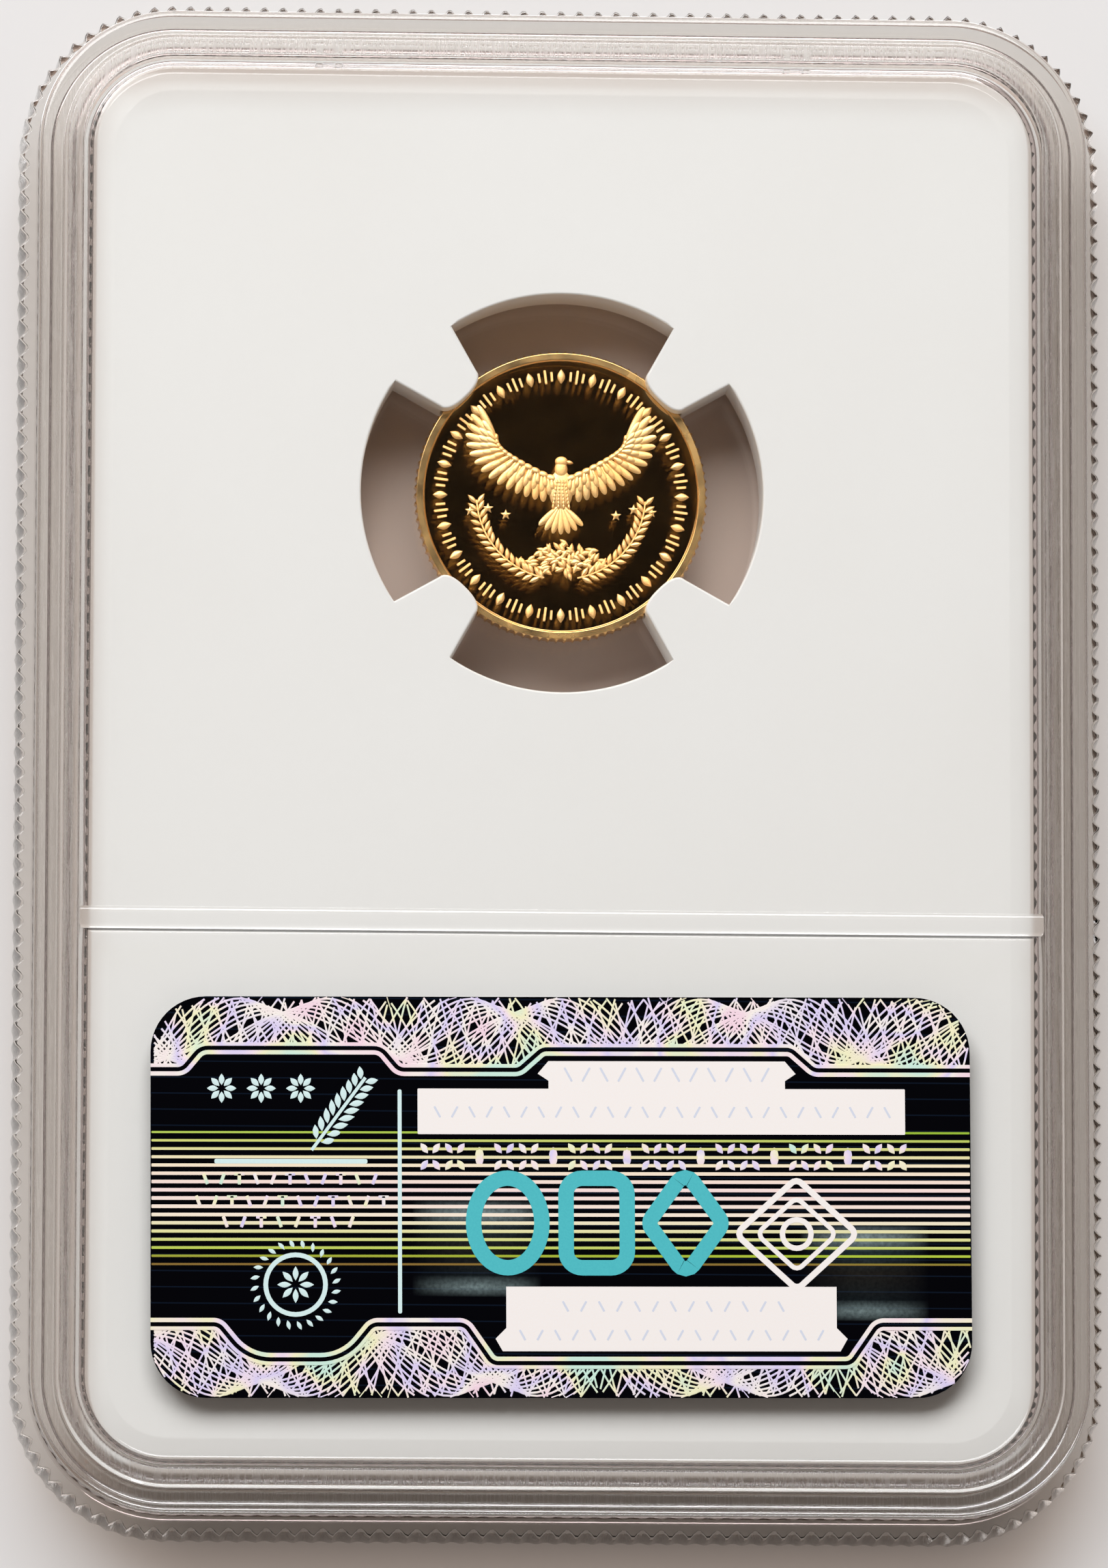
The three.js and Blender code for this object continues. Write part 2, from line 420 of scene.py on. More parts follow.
def declare(piece: Piece, slot: str, *nodes: str) -> None:
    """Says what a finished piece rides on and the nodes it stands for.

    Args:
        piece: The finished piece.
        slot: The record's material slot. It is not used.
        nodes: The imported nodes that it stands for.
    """
    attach(piece, BODY)
    if nodes:
        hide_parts(*nodes)
    LOG.info("%s: %d faces", piece.name, len(piece.data.polygons))


# ---- Geometry node trees --------------------------------------------------------------------


def new_tree(name: str, inputs: dict[str, str]) -> tuple[Tree, Node, Node]:
    """Starts a geometry tree.

    Args:
        name: The tree's name.
        inputs: Each named input and its socket type.

    Returns:
        The tree, its group input node and its group output node.
    """
    tree = bpy.data.node_groups.new(name, "GeometryNodeTree")
    tree.interface.new_socket("Geometry", in_out="INPUT", socket_type="NodeSocketGeometry")
    for label, kind in inputs.items():
        tree.interface.new_socket(label, in_out="INPUT", socket_type=kind)
    tree.interface.new_socket("Geometry", in_out="OUTPUT", socket_type="NodeSocketGeometry")
    return tree, add(tree, "NodeGroupInput"), add(tree, "NodeGroupOutput")


def end_tree(tree: Tree, source: Node, result: Node, geometry: Socket) -> None:
    """Makes a tree's copies real, gives them the material input and sends them out.

    Args:
        tree: The geometry tree.
        source: Its group input node.
        result: Its group output node.
        geometry: The finished geometry.
    """
    real = add(tree, "GeometryNodeRealizeInstances", {0: geometry})
    dressed = add(
        tree, "GeometryNodeSetMaterial", {"Geometry": real.outputs[0], "Material": source.outputs["Material"]}
    )
    tree.links.new(dressed.outputs[0], result.inputs[0])


def run_tree(piece: Piece, tree: Tree, values: dict[str, object]) -> None:
    """Puts a tree on a piece, sets its inputs by identifier and bakes the result.

    Args:
        piece: The object whose mesh the tree reads.
        tree: The geometry tree.
        values: Input name to value.
    """
    modifier = piece.modifiers.new(tree.name, "NODES")
    modifier.node_group = tree
    for item in tree.interface.items_tree:
        if item.in_out == "INPUT" and item.name in values:
            modifier[item.identifier] = values[item.name]
    baked(piece)


def reeding_tree() -> Tree:
    """Tree that cuts round flutes into an edge. The crests between them stay, and are a little blunt.

    Returns:
        The geometry tree.
    """
    tree, source, result = new_tree(
        "reeded_edge", {"Depth": "NodeSocketFloat", "Material": "NodeSocketMaterial"}
    )
    turn = add(tree, "GeometryNodeInputNamedAttribute", {"Name": "reed_turn"}, data_type="FLOAT")
    share = add(tree, "GeometryNodeInputNamedAttribute", {"Name": "reed_share"}, data_type="FLOAT")
    inward = add(tree, "GeometryNodeInputNamedAttribute", {"Name": "reed_inward"}, data_type="FLOAT_VECTOR")
    depth = chain(
        tree,
        "ShaderNodeMath",
        turn.outputs[0],
        ("MULTIPLY", math.pi),
        ("SINE",),
        ("ABSOLUTE",),
        ("POWER", FLUTE_POWER),
        ("MULTIPLY", share.outputs[0]),
        ("MULTIPLY", source.outputs["Depth"]),
    )
    offset = add(tree, "ShaderNodeVectorMath", {0: inward.outputs[0], "Scale": depth}, operation="SCALE")
    moved = add(
        tree, "GeometryNodeSetPosition", {"Geometry": source.outputs["Geometry"], "Offset": offset.outputs[0]}
    )
    end_tree(tree, source, result, moved.outputs[0])
    return tree


def ornament_tree() -> Tree:
    """Tree that sets a copy of one shape on every point, turned and sized by the point's attributes.

    Returns:
        The geometry tree.
    """
    tree, source, result = new_tree(
        "ornament", {"Shape": "NodeSocketObject", "Material": "NodeSocketMaterial"}
    )
    turn = add(tree, "GeometryNodeInputNamedAttribute", {"Name": "turn"}, data_type="FLOAT_VECTOR")
    size = add(tree, "GeometryNodeInputNamedAttribute", {"Name": "size"}, data_type="FLOAT_VECTOR")
    rotation = add(tree, "FunctionNodeEulerToRotation", {0: turn.outputs[0]})
    shape = add(tree, "GeometryNodeObjectInfo", {"Object": source.outputs["Shape"]})
    copies = add(
        tree,
        "GeometryNodeInstanceOnPoints",
        {
            "Points": source.outputs["Geometry"],
            "Instance": shape.outputs["Geometry"],
            "Rotation": rotation.outputs[0],
            "Scale": size.outputs[0],
        },
    )
    end_tree(tree, source, result, copies.outputs[0])
    return tree


def guilloche_tree() -> Tree:
    """Tree that draws a bundle of fine strands, each a sine wave a little out of step with the last.

    Returns:
        The geometry tree.
    """
    lengths = ("Length", "Swing", "Swing Step", "Waves", "Phase", "Phase Step", "Line Radius", "Corner")
    inputs = {
        **dict.fromkeys(lengths, "NodeSocketFloat"),
        **dict.fromkeys(("Strands", "Steps"), "NodeSocketInt"),
        **dict.fromkeys(("Centre", "Half Size"), "NodeSocketVector"),
        "Material": "NodeSocketMaterial",
    }
    tree, source, result = new_tree("guilloche", inputs)
    half = chain(tree, "ShaderNodeMath", source.outputs["Length"], ("MULTIPLY", 0.5))
    minus = chain(tree, "ShaderNodeMath", half, ("MULTIPLY", -1.0))
    start = add(tree, "ShaderNodeCombineXYZ", {"X": minus})
    end = add(tree, "ShaderNodeCombineXYZ", {"X": half})
    line = add(tree, "GeometryNodeCurvePrimitiveLine", {"Start": start.outputs[0], "End": end.outputs[0]})
    fine = add(
        tree, "GeometryNodeResampleCurve", {"Curve": line.outputs[0], "Count": source.outputs["Steps"]}
    )
    points = add(
        tree, "GeometryNodeMeshLine", {"Count": source.outputs["Strands"], "Offset": (0.0, 0.0, 0.0)}
    )
    index = add(tree, "GeometryNodeInputIndex")
    numbered = add(
        tree,
        "GeometryNodeStoreNamedAttribute",
        {"Geometry": points.outputs[0], "Name": "strand", "Value": index.outputs[0]},
        data_type="FLOAT",
    )
    copies = add(
        tree, "GeometryNodeInstanceOnPoints", {"Points": numbered.outputs[0], "Instance": fine.outputs[0]}
    )
    real = add(tree, "GeometryNodeRealizeInstances", {0: copies.outputs[0]})
    strand = add(tree, "GeometryNodeInputNamedAttribute", {"Name": "strand"}, data_type="FLOAT")
    place = add(tree, "GeometryNodeInputPosition")
    split = add(tree, "ShaderNodeSeparateXYZ", {0: place.outputs[0]})
    phase, swing = (
        chain(
            tree,
            "ShaderNodeMath",
            strand.outputs[0],
            ("MULTIPLY_ADD", source.outputs[name + " Step"], source.outputs[name]),
        )
        for name in ("Phase", "Swing")
    )
    rise = chain(
        tree,
        "ShaderNodeMath",
        split.outputs["X"],
        ("DIVIDE", source.outputs["Length"]),
        ("MULTIPLY", source.outputs["Waves"]),
        ("ADD", phase),
        ("MULTIPLY", math.tau),
        ("SINE",),
        ("MULTIPLY", swing),
    )
    offset = add(tree, "ShaderNodeCombineXYZ", {"Y": rise})
    waved = add(tree, "GeometryNodeSetPosition", {"Geometry": real.outputs[0], "Offset": offset.outputs[0]})
    section = add(
        tree,
        "GeometryNodeCurvePrimitiveCircle",
        {"Resolution": 4, "Radius": source.outputs["Line Radius"]},
    )
    tube = add(
        tree, "GeometryNodeCurveToMesh", {"Curve": waved.outputs[0], "Profile Curve": section.outputs[0]}
    )
    # The tube is pressed flat, and moved to the band's middle.
    moved = chain(
        tree,
        "ShaderNodeVectorMath",
        add(tree, "GeometryNodeInputPosition").outputs[0],
        ("MULTIPLY", (1.0, 1.0, 0.3)),
        ("ADD", source.outputs["Centre"]),
    )
    placed = add(tree, "GeometryNodeSetPosition", {"Geometry": tube.outputs[0], "Position": moved})
    # Strands past the sheet's rounded outline are trimmed away.
    beyond = chain(
        tree,
        "ShaderNodeVectorMath",
        add(tree, "GeometryNodeInputPosition").outputs[0],
        ("ABSOLUTE",),
        ("SUBTRACT", source.outputs["Half Size"]),
        ("ADD", source.outputs["Corner"]),
        ("MAXIMUM", (0.0, 0.0, 0.0)),
        ("MULTIPLY", (1.0, 1.0, 0.0)),
    )
    distance = add(tree, "ShaderNodeVectorMath", {0: beyond}, operation="LENGTH")
    outside = add(
        tree,
        "ShaderNodeMath",
        {0: distance.outputs["Value"], 1: source.outputs["Corner"]},
        operation="GREATER_THAN",
    )
    trimmed = add(
        tree, "GeometryNodeDeleteGeometry", {"Geometry": placed.outputs[0], "Selection": outside.outputs[0]}
    )
    end_tree(tree, source, result, trimmed.outputs[0])
    return tree


class Shape(Enum):
    """The small closed forms that ornament is made of."""

    FEATHER = "feather"
    LEAF = "leaf"
    DOME = "dome"
    BAR = "bar"
    STAR = "star"


@dataclass
class Mark:
    """One ornament: its place, its turn about Z in radians, and its length, width and height."""

    place: Vector
    turn: float
    size: tuple[float, float, float]


class Ornament:
    """Makes the ornament of the coin and of the printed sheets with one geometry tree."""

    def __init__(self) -> None:
        """Builds the tree and the forms that it copies."""
        self.tree = ornament_tree()
        self.forms = {shape: self.form(shape) for shape in Shape}

    def form(self, shape: Shape) -> Piece:
        """Builds a form of unit length, width and height, on the plane Z = 0.

        Args:
            shape: Which form.

        Returns:
            The object that the tree copies.
        """
        draft = Draft()
        if shape in (Shape.FEATHER, Shape.LEAF, Shape.DOME):
            self.lens(draft, shape)
        elif shape is Shape.BAR:
            rim = Outline(1.0, 1.0, 0.12).points(2)
            top = Outline(0.9, 0.8, 0.1).points(2)
            low, edge, high = draft.level(rim, -0.5), draft.level(rim, 0.6), draft.level(top, 1.0)
            draft.bridge(low, edge)
            draft.bridge(edge, high)
            draft.cap(low, up=False)
            draft.cap(high, up=True)
        else:
            rim = [
                spoke(a) * (0.5 if i % 2 == 0 else 0.21)
                for i, a in ((i, i * math.pi / 5 + math.pi / 2) for i in range(10))
            ]
            low, edge = draft.level(rim, -0.5), draft.level(rim, 0.2)
            draft.bridge(low, edge)
            draft.cap(low, up=False)
            tip = draft.ring([Vector((0.0, 0.0, 1.0))])[0]
            for i in range(10):
                draft.faces.append(([edge[i], edge[(i + 1) % 10], tip], 0))
        made = draft.build("form_" + shape.value, [], sharp=50.0)
        made.data.transform(Matrix.Scale(1 / MM, 4))
        return made

    @staticmethod
    def lens(draft: Draft, shape: Shape) -> None:
        """Draws a domed form: a feather runs from its root at X = 0 to a round tip, a leaf to a point.

        Args:
            draft: The draft to draw in.
            shape: A feather, a leaf or a dome.
        """
        steps, rows = (10, 3) if shape is not Shape.DOME else (16, 4)
        rim: list[Point] = []
        for i in range(2 * steps):
            a = math.tau * i / (2 * steps)
            x, y = 0.5 + 0.5 * math.cos(a), 0.5 * math.sin(a)
            if shape is Shape.LEAF:
                y *= math.sin(math.pi * min(max(x, 0.0), 1.0)) ** 0.6
            if shape is Shape.FEATHER:
                y *= 0.45 + 0.6 * x
            rim.append((x, y))
        if shape is Shape.DOME:
            rim = [(x - 0.5, y) for x, y in rim]
        middle = Vector((0.0 if shape is Shape.DOME else 0.5, 0.0))
        rings = [draft.level(rim, -0.5)]
        for row in range(rows):
            shrink = math.cos(row / rows * math.pi / 2)
            height = math.sin(row / rows * math.pi / 2)
            rings.append(draft.level([middle + (Vector(p) - middle) * shrink for p in rim], height))
        for low, high in zip(rings, rings[1:]):
            draft.bridge(low, high)
        draft.cap(rings[0], up=False)
        tip = draft.ring([Vector((*middle, 1.0))])[0]
        last = rings[-1]
        for i in range(len(last)):
            draft.faces.append(([last[i], last[(i + 1) % len(last)], tip], 0))

    def make(self, name: str, shape: Shape, marks: list[Mark], material: Finish) -> Piece:
        """Sets a form on every mark.

        Args:
            name: The piece's name.
            shape: Which form.
            marks: Where the copies go.
            material: Their finish.

        Returns:
            One object that holds all copies.
        """
        mesh = bpy.data.meshes.new(name)
        mesh.from_pydata([m.place * MM for m in marks], [], [])
        turn = mesh.attributes.new("turn", "FLOAT_VECTOR", "POINT")
        turn.data.foreach_set("vector", [c for m in marks for c in (0.0, 0.0, m.turn)])
        size = mesh.attributes.new("size", "FLOAT_VECTOR", "POINT")
        size.data.foreach_set("vector", [c * MM for m in marks for c in m.size])
        made = bpy.data.objects.new(name, mesh)
        bpy.context.collection.objects.link(made)
        run_tree(made, self.tree, {"Shape": self.forms[shape], "Material": material})
        smooth(made, 50.0)
        return made

    def clear(self) -> None:
        """Removes the forms, which aren't part of the object."""
        for form in self.forms.values():
            bpy.data.objects.remove(form)


def merged(name: str, pieces: list[Piece]) -> Piece:
    """Puts several objects' meshes into one object, keeping their materials.

    Args:
        name: The new piece's name.
        pieces: The objects, which are removed.

    Returns:
        The new object.
    """
    gathered = bmesh.new()
    materials: list[Finish] = []
    for piece in pieces:
        first = len(gathered.faces)
        gathered.from_mesh(piece.data)
        gathered.faces.ensure_lookup_table()
        for face in gathered.faces[first:]:
            material = piece.data.materials[face.material_index]
            if material not in materials:
                materials.append(material)
            face.material_index = materials.index(material)
    mesh = bpy.data.meshes.new(name)
    gathered.to_mesh(mesh)
    gathered.free()
    for material in materials:
        mesh.materials.append(material)
    made = bpy.data.objects.new(name, mesh)
    bpy.context.collection.objects.link(made)
    for piece in pieces:
        bpy.data.objects.remove(piece)
    smooth(made, 40.0)
    return made


# ---- Finishes -------------------------------------------------------------------------------


def new_material(name: str) -> tuple[Finish, Tree, Node]:
    """Starts a material with an empty tree and its output node.

    Args:
        name: The material's name.

    Returns:
        The material, its tree and its output node.
    """
    material = bpy.data.materials.new(name)
    material.use_nodes = True
    tree = material.node_tree
    tree.nodes.clear()
    return material, tree, add(tree, "ShaderNodeOutputMaterial")


@dataclass(frozen=True)
class ClearStyrene:
    """Clear general-purpose polystyrene, injection moulded in a polished tool.

    The windows are optically clean. The stacking ridges rub on other slabs, so they carry fine
    hairlines that turn them from clear to a grey haze.

    Args:
        window: Half size of the clean window, in millimetres.
        ridges: Heights of the two rubbed rims.
        name: Which shell it is for.
        window_shade: How much lamp light one surface of the window passes.
        frame_shade: How much of it one bent surface of the frame passes.
        tint: Colour of the plastic. On the outer wall, which is seen edge on, a dark brown tint is painted
            shade: it draws the thin dark line along the step.
    """

    window: Point
    ridges: Point
    name: str
    window_shade: str
    frame_shade: str
    tint: str = "fdfdfc"
    ior: float = 1.59
    hairline_pitch: float = 0.12
    ridge_depth: float = 0.06
    polish: float = 0.015  # roughness of the clean surface
    haze: Point = (0.12, 0.38)  # roughness that the hairlines add, least and most
    scratch_turns: Point = (0.5, -0.9)  # how far each set of hairlines is turned, in radians

    def material(self) -> Finish:
        """Builds the material.

        Returns:
            The material.
        """
        material, tree, output = new_material("clear_moulded_polystyrene_" + self.name)
        place = add(tree, "ShaderNodeTexCoord").outputs["Object"]
        split = add(tree, "ShaderNodeSeparateXYZ", {0: place})
        # Rubbed rims: within a few hundredths of the two outermost heights.
        rubbed = None
        for height in self.ridges:
            near = chain(
                tree,
                "ShaderNodeMath",
                split.outputs["Z"],
                ("SUBTRACT", height * MM),
                ("ABSOLUTE",),
                ("LESS_THAN", self.ridge_depth * MM),
            )
            rubbed = near if rubbed is None else chain(tree, "ShaderNodeMath", rubbed, ("MAXIMUM", near))
        # Hairlines: noise drawn out along one direction, twice, crossing at a shallow angle.
        lines = []
        for turn in self.scratch_turns:
            along = add(
                tree,
                "ShaderNodeMapping",
                {"Vector": place, "Rotation": (0.0, 0.0, turn), "Scale": (1.0, 0.06, 1.0)},
            )
            noise = add(
                tree,
                "ShaderNodeTexNoise",
                {"Vector": along.outputs[0], "Scale": 1 / (self.hairline_pitch * MM), "Detail": 2.0},
            )
            lines.append(noise.outputs["Fac"])
        crossed = chain(tree, "ShaderNodeMath", lines[0], ("MULTIPLY", lines[1]))
        haze = add(
            tree,
            "ShaderNodeMapRange",
            {
                "Value": crossed,
                "From Min": 0.12,
                "From Max": 0.4,
                "To Min": self.haze[0],
                "To Max": self.haze[1],
            },
        )
        rough = chain(
            tree, "ShaderNodeMath", haze.outputs[0], ("MULTIPLY", rubbed), ("ADD", self.polish)
        )
        scratch = chain(tree, "ShaderNodeMath", crossed, ("MULTIPLY", rubbed))
        bump = add(tree, "ShaderNodeBump", {"Height": scratch, "Distance": 0.02 * MM, "Strength": 0.7})
        glass = add(
            tree,
            "ShaderNodeBsdfPrincipled",
            {
                "Base Color": linear(self.tint),
                "Roughness": rough,
                "IOR": self.ior,
                "Transmission Weight": 1.0,
                "Normal": bump.outputs[0],
            },
        )
        # Lamp light goes straight through the flat windows, and is partly thrown aside by the frame.
        inside = None
        for axis, half in zip("XY", self.window):
            steps = (("ABSOLUTE",), ("LESS_THAN", half * MM))
            within = chain(tree, "ShaderNodeMath", split.outputs[axis], *steps)
            inside = within if inside is None else chain(tree, "ShaderNodeMath", inside, ("MULTIPLY", within))
        shade = add(
            tree,
            "ShaderNodeMix",
            {0: inside, 6: linear(self.frame_shade), 7: linear(self.window_shade)},
            data_type="RGBA",
        )
        passed = add(tree, "ShaderNodeBsdfTransparent", {"Color": shade.outputs[2]})
        path = add(tree, "ShaderNodeLightPath")
        body = glass.outputs[0]
        for ray in ("Is Diffuse Ray", "Is Shadow Ray"):
            body = add(tree, "ShaderNodeMixShader", {0: path.outputs[ray], 1: body, 2: passed.outputs[0]})
            body = body.outputs[0]
        tree.links.new(body, output.inputs["Surface"])
        return material


@dataclass(frozen=True)
class WhiteStyrene:
    """Opaque white polystyrene, moulded in a fine spark-eroded tool, so it is satin with a faint grain."""

    colour: str = "f6f6f4"
    shade: str = "f2f1ee"
    grain: float = 0.25
    cloud: float = 14.0

    def material(self) -> Finish:
        """Builds the material.

        Returns:
            The material.
        """
        material, tree, output = new_material("white_moulded_polystyrene")
        place = add(tree, "ShaderNodeTexCoord").outputs["Object"]
        cloud = add(
            tree, "ShaderNodeTexNoise", {"Vector": place, "Scale": 1 / (self.cloud * MM), "Detail": 1.0}
        )
        colour = add(
            tree,
            "ShaderNodeMix",
            {0: cloud.outputs["Fac"], 6: linear(self.colour), 7: linear(self.shade)},
            data_type="RGBA",
        )
        grain = add(
            tree, "ShaderNodeTexNoise", {"Vector": place, "Scale": 1 / (self.grain * MM), "Detail": 2.0}
        )
        bump = add(
            tree, "ShaderNodeBump", {"Height": grain.outputs["Fac"], "Distance": 0.004 * MM, "Strength": 0.5}
        )
        rough = add(
            tree,
            "ShaderNodeMapRange",
            {"Value": grain.outputs["Fac"], "To Min": 0.42, "To Max": 0.56},
        )
        body = add(
            tree,
            "ShaderNodeBsdfPrincipled",
            {
                "Base Color": colour.outputs[2],
                "Roughness": rough.outputs[0],
                "IOR": 1.59,
                "Normal": bump.outputs[0],
            },
        )
        tree.links.new(body.outputs[0], output.inputs["Surface"])
        return material


class Strike(Enum):
    """How a struck gold surface was left by its die."""

    MIRROR = "mirror_field"
    FROST = "frosted_relief"
    RIM = "bright_rim"


@dataclass(frozen=True)
class StruckGold:
    """Gold alloy of 22 carat, struck by a polished die.

    The field is a mirror, so it shows the dark room above it. The relief is frosted, so it
    scatters the lamp and looks pale. The rim and the reeded edge lie between the two.
    """

    strike: Strike
    colours: tuple[str, str] = ("fcd69a", "e9b468")
    frost_grain: float = 0.09

    def material(self) -> Finish:
        """Builds the material.

        Returns:
            The material.
        """
        material, tree, output = new_material("struck_gold_" + self.strike.value)
        rough, relief = {
            Strike.MIRROR: ((0.03, 0.07), 0.0),
            Strike.FROST: ((0.42, 0.58), 0.8),
            Strike.RIM: ((0.16, 0.3), 0.25),
        }[self.strike]
        place = add(tree, "ShaderNodeTexCoord").outputs["Object"]
        grain = add(
            tree,
            "ShaderNodeTexNoise",
            {"Vector": place, "Scale": 1 / (self.frost_grain * MM), "Detail": 3.0},
        )
        cloud = add(tree, "ShaderNodeTexNoise", {"Vector": place, "Scale": 1 / (1.6 * MM), "Detail": 3.0})
        colour = add(
            tree,
            "ShaderNodeMix",
            {0: cloud.outputs["Fac"], 6: linear(self.colours[0]), 7: linear(self.colours[1])},
            data_type="RGBA",
        )
        roughness = add(
            tree,
            "ShaderNodeMapRange",
            {
                "Value": cloud.outputs["Fac"],
                "From Min": 0.3,
                "From Max": 0.7,
                "To Min": rough[0],
                "To Max": rough[1],
            },
        )
        bump = add(
            tree,
            "ShaderNodeBump",
            {"Height": grain.outputs["Fac"], "Distance": 0.012 * MM, "Strength": relief},
        )
        metal = add(
            tree,
            "ShaderNodeBsdfPrincipled",
            {
                "Base Color": colour.outputs[2],
                "Metallic": 1.0,
                "Roughness": roughness.outputs[0],
                "Normal": bump.outputs[0],
            },
        )
        tree.links.new(metal.outputs[0], output.inputs["Surface"])
        return material


class Ink(Enum):
    """What a printed or embossed area of the foil sticker shows."""

    BLACK = "black_print"
    LINES = "bright_lines"
    STRIPES = "banded_lines"
    CREAM = "cream_panel"
    TEAL = "teal_print"
    SILVER = "pale_emblem"
    FAINT = "faint_marks"


@dataclass(frozen=True)
class EmbossedFoil:
    """Polyester foil with an embossed grating, partly covered by print.

    The grating splits white light, so bright areas drift between pastel hues: mint, pale yellow,
    pink, lilac and cream.
    The print is a flat lacquer, with faint blue lines where the grating shows through the black.
    """

    ink: Ink
    drift: float = 3.2  # how far it is from one hue to the next
    faint_pitch: float = 0.9
    faint_share: float = 0.08  # how much of that pitch is a line
    stripe_reach: float = 3.7
    middle: Point = (0.0, 0.0)
    ghosts: tuple[Point, ...] = ((-4.7, -2.9), (16.9, -4.1))
    ghost_reach: Point = (3.6, 2.7)

    def material(self) -> Finish:
        """Builds the material.

        Returns:
            The material.
        """
        material, tree, output = new_material("embossed_foil_" + self.ink.value)
        place = add(tree, "ShaderNodeTexCoord").outputs["Object"]
        colour = {
            Ink.BLACK: self.black,
            Ink.LINES: self.hues,
            Ink.STRIPES: self.banded,
            Ink.CREAM: lambda t, p: self.plain(t, p, "fffbf8", "fff8f2"),
            Ink.TEAL: lambda t, p: self.plain(t, p, "4fc9cf", "43bcc6"),
            Ink.SILVER: lambda t, p: self.plain(t, p, "e4fbf6", "d4f2f4"),
            Ink.FAINT: lambda t, p: self.plain(t, p, "e2e6f2", "d6dfef"),
        }[self.ink](tree, place)
        body = add(
            tree,
            "ShaderNodeBsdfPrincipled",
            {"Base Color": colour, "Roughness": 0.12 if self.ink is Ink.BLACK else 0.5, "IOR": 1.45},
        )
        tree.links.new(body.outputs[0], output.inputs["Surface"])
        return material

    def hues(self, tree: Tree, place: Socket) -> Socket:
        """Pastel hues that drift over the sheet.

        Args:
            tree: The material's tree.
            place: The socket that gives the place on the piece.

        Returns:
            The colour's socket.
        """
        noise = add(
            tree, "ShaderNodeTexNoise", {"Vector": place, "Scale": 1 / (self.drift * MM), "Detail": 1.5}
        )
        ramp = add(tree, "ShaderNodeValToRGB", {"Fac": noise.outputs["Fac"]})
        mint, lemon, rose, lilac, cream, pink = "d2f4e4", "fbf8cc", "fdeaf4", "e2d8fc", "fff8f0", "fde0ec"
        stops = ((0.3, mint), (0.4, lemon), (0.47, rose), (0.53, lilac), (0.6, cream), (0.7, pink))
        fill_ramp(ramp, stops)
        return ramp.outputs["Color"]

    def banded(self, tree: Tree, place: Socket) -> Socket:
        """Hues that change across the height: green at both ends, cream and pink in the middle.

        Args:
            tree: The material's tree.
            place: The socket that gives the place on the piece.

        Returns:
            The colour's socket.
        """
        height = add(tree, "ShaderNodeSeparateXYZ", {0: place}).outputs["Y"]
        share = add(
            tree,
            "ShaderNodeMapRange",
            {
                "Value": height,
                "From Min": (self.middle[1] - self.stripe_reach) * MM,
                "From Max": (self.middle[1] + self.stripe_reach) * MM,
            },
        )
        ramp = add(tree, "ShaderNodeValToRGB", {"Fac": share.outputs[0]})
        stops = (
            (0.0, "8a6a1e"),
            (0.07, "b4cf2c"),
            (0.2, "e6e79a"),
            (0.35, "fff1dc"),
            (0.55, "ffe6e2"),
            (0.75, "fff0cf"),
            (0.9, "d8dd7a"),
            (1.0, "9cc42a"),
        )
        fill_ramp(ramp, stops)
        return ramp.outputs["Color"]

    def plain(self, tree: Tree, place: Socket, light: str, dark: str) -> Socket:
        """One lacquer colour with the fine mottle of its screen.

        Args:
            tree: The material's tree.
            place: The socket that gives the place on the piece.
            light: Its lighter shade.
            dark: Its darker shade.

        Returns:
            The colour's socket.
        """
        noise = add(tree, "ShaderNodeTexNoise", {"Vector": place, "Scale": 1 / (0.12 * MM), "Detail": 1.0})
        mix = add(
            tree,
            "ShaderNodeMix",
            {0: noise.outputs["Fac"], 6: linear(light), 7: linear(dark)},
            data_type="RGBA",
        )
        return mix.outputs[2]

    def black(self, tree: Tree, place: Socket) -> Socket:
        """Near black, with thin blue lines one pitch apart and two soft ghost figures.

        Args:
            tree: The material's tree.
            place: The socket that gives the place on the piece.

        Returns:
            The colour's socket.
        """
        split = add(tree, "ShaderNodeSeparateXYZ", {0: place})
        line = chain(
            tree,
            "ShaderNodeMath",
            split.outputs["Y"],
            ("MULTIPLY", 1 / (self.faint_pitch * MM)),
            ("FRACT",),
            ("LESS_THAN", self.faint_share),
        )
        mix = add(
            tree, "ShaderNodeMix", {0: line, 6: linear("050509"), 7: linear("0f1826")}, data_type="RGBA"
        )
        colour = mix.outputs[2]
        for x, y in self.ghosts:
            colour = self.ghost(tree, split, colour, (self.middle[0] + x, self.middle[1] + y))
        return colour

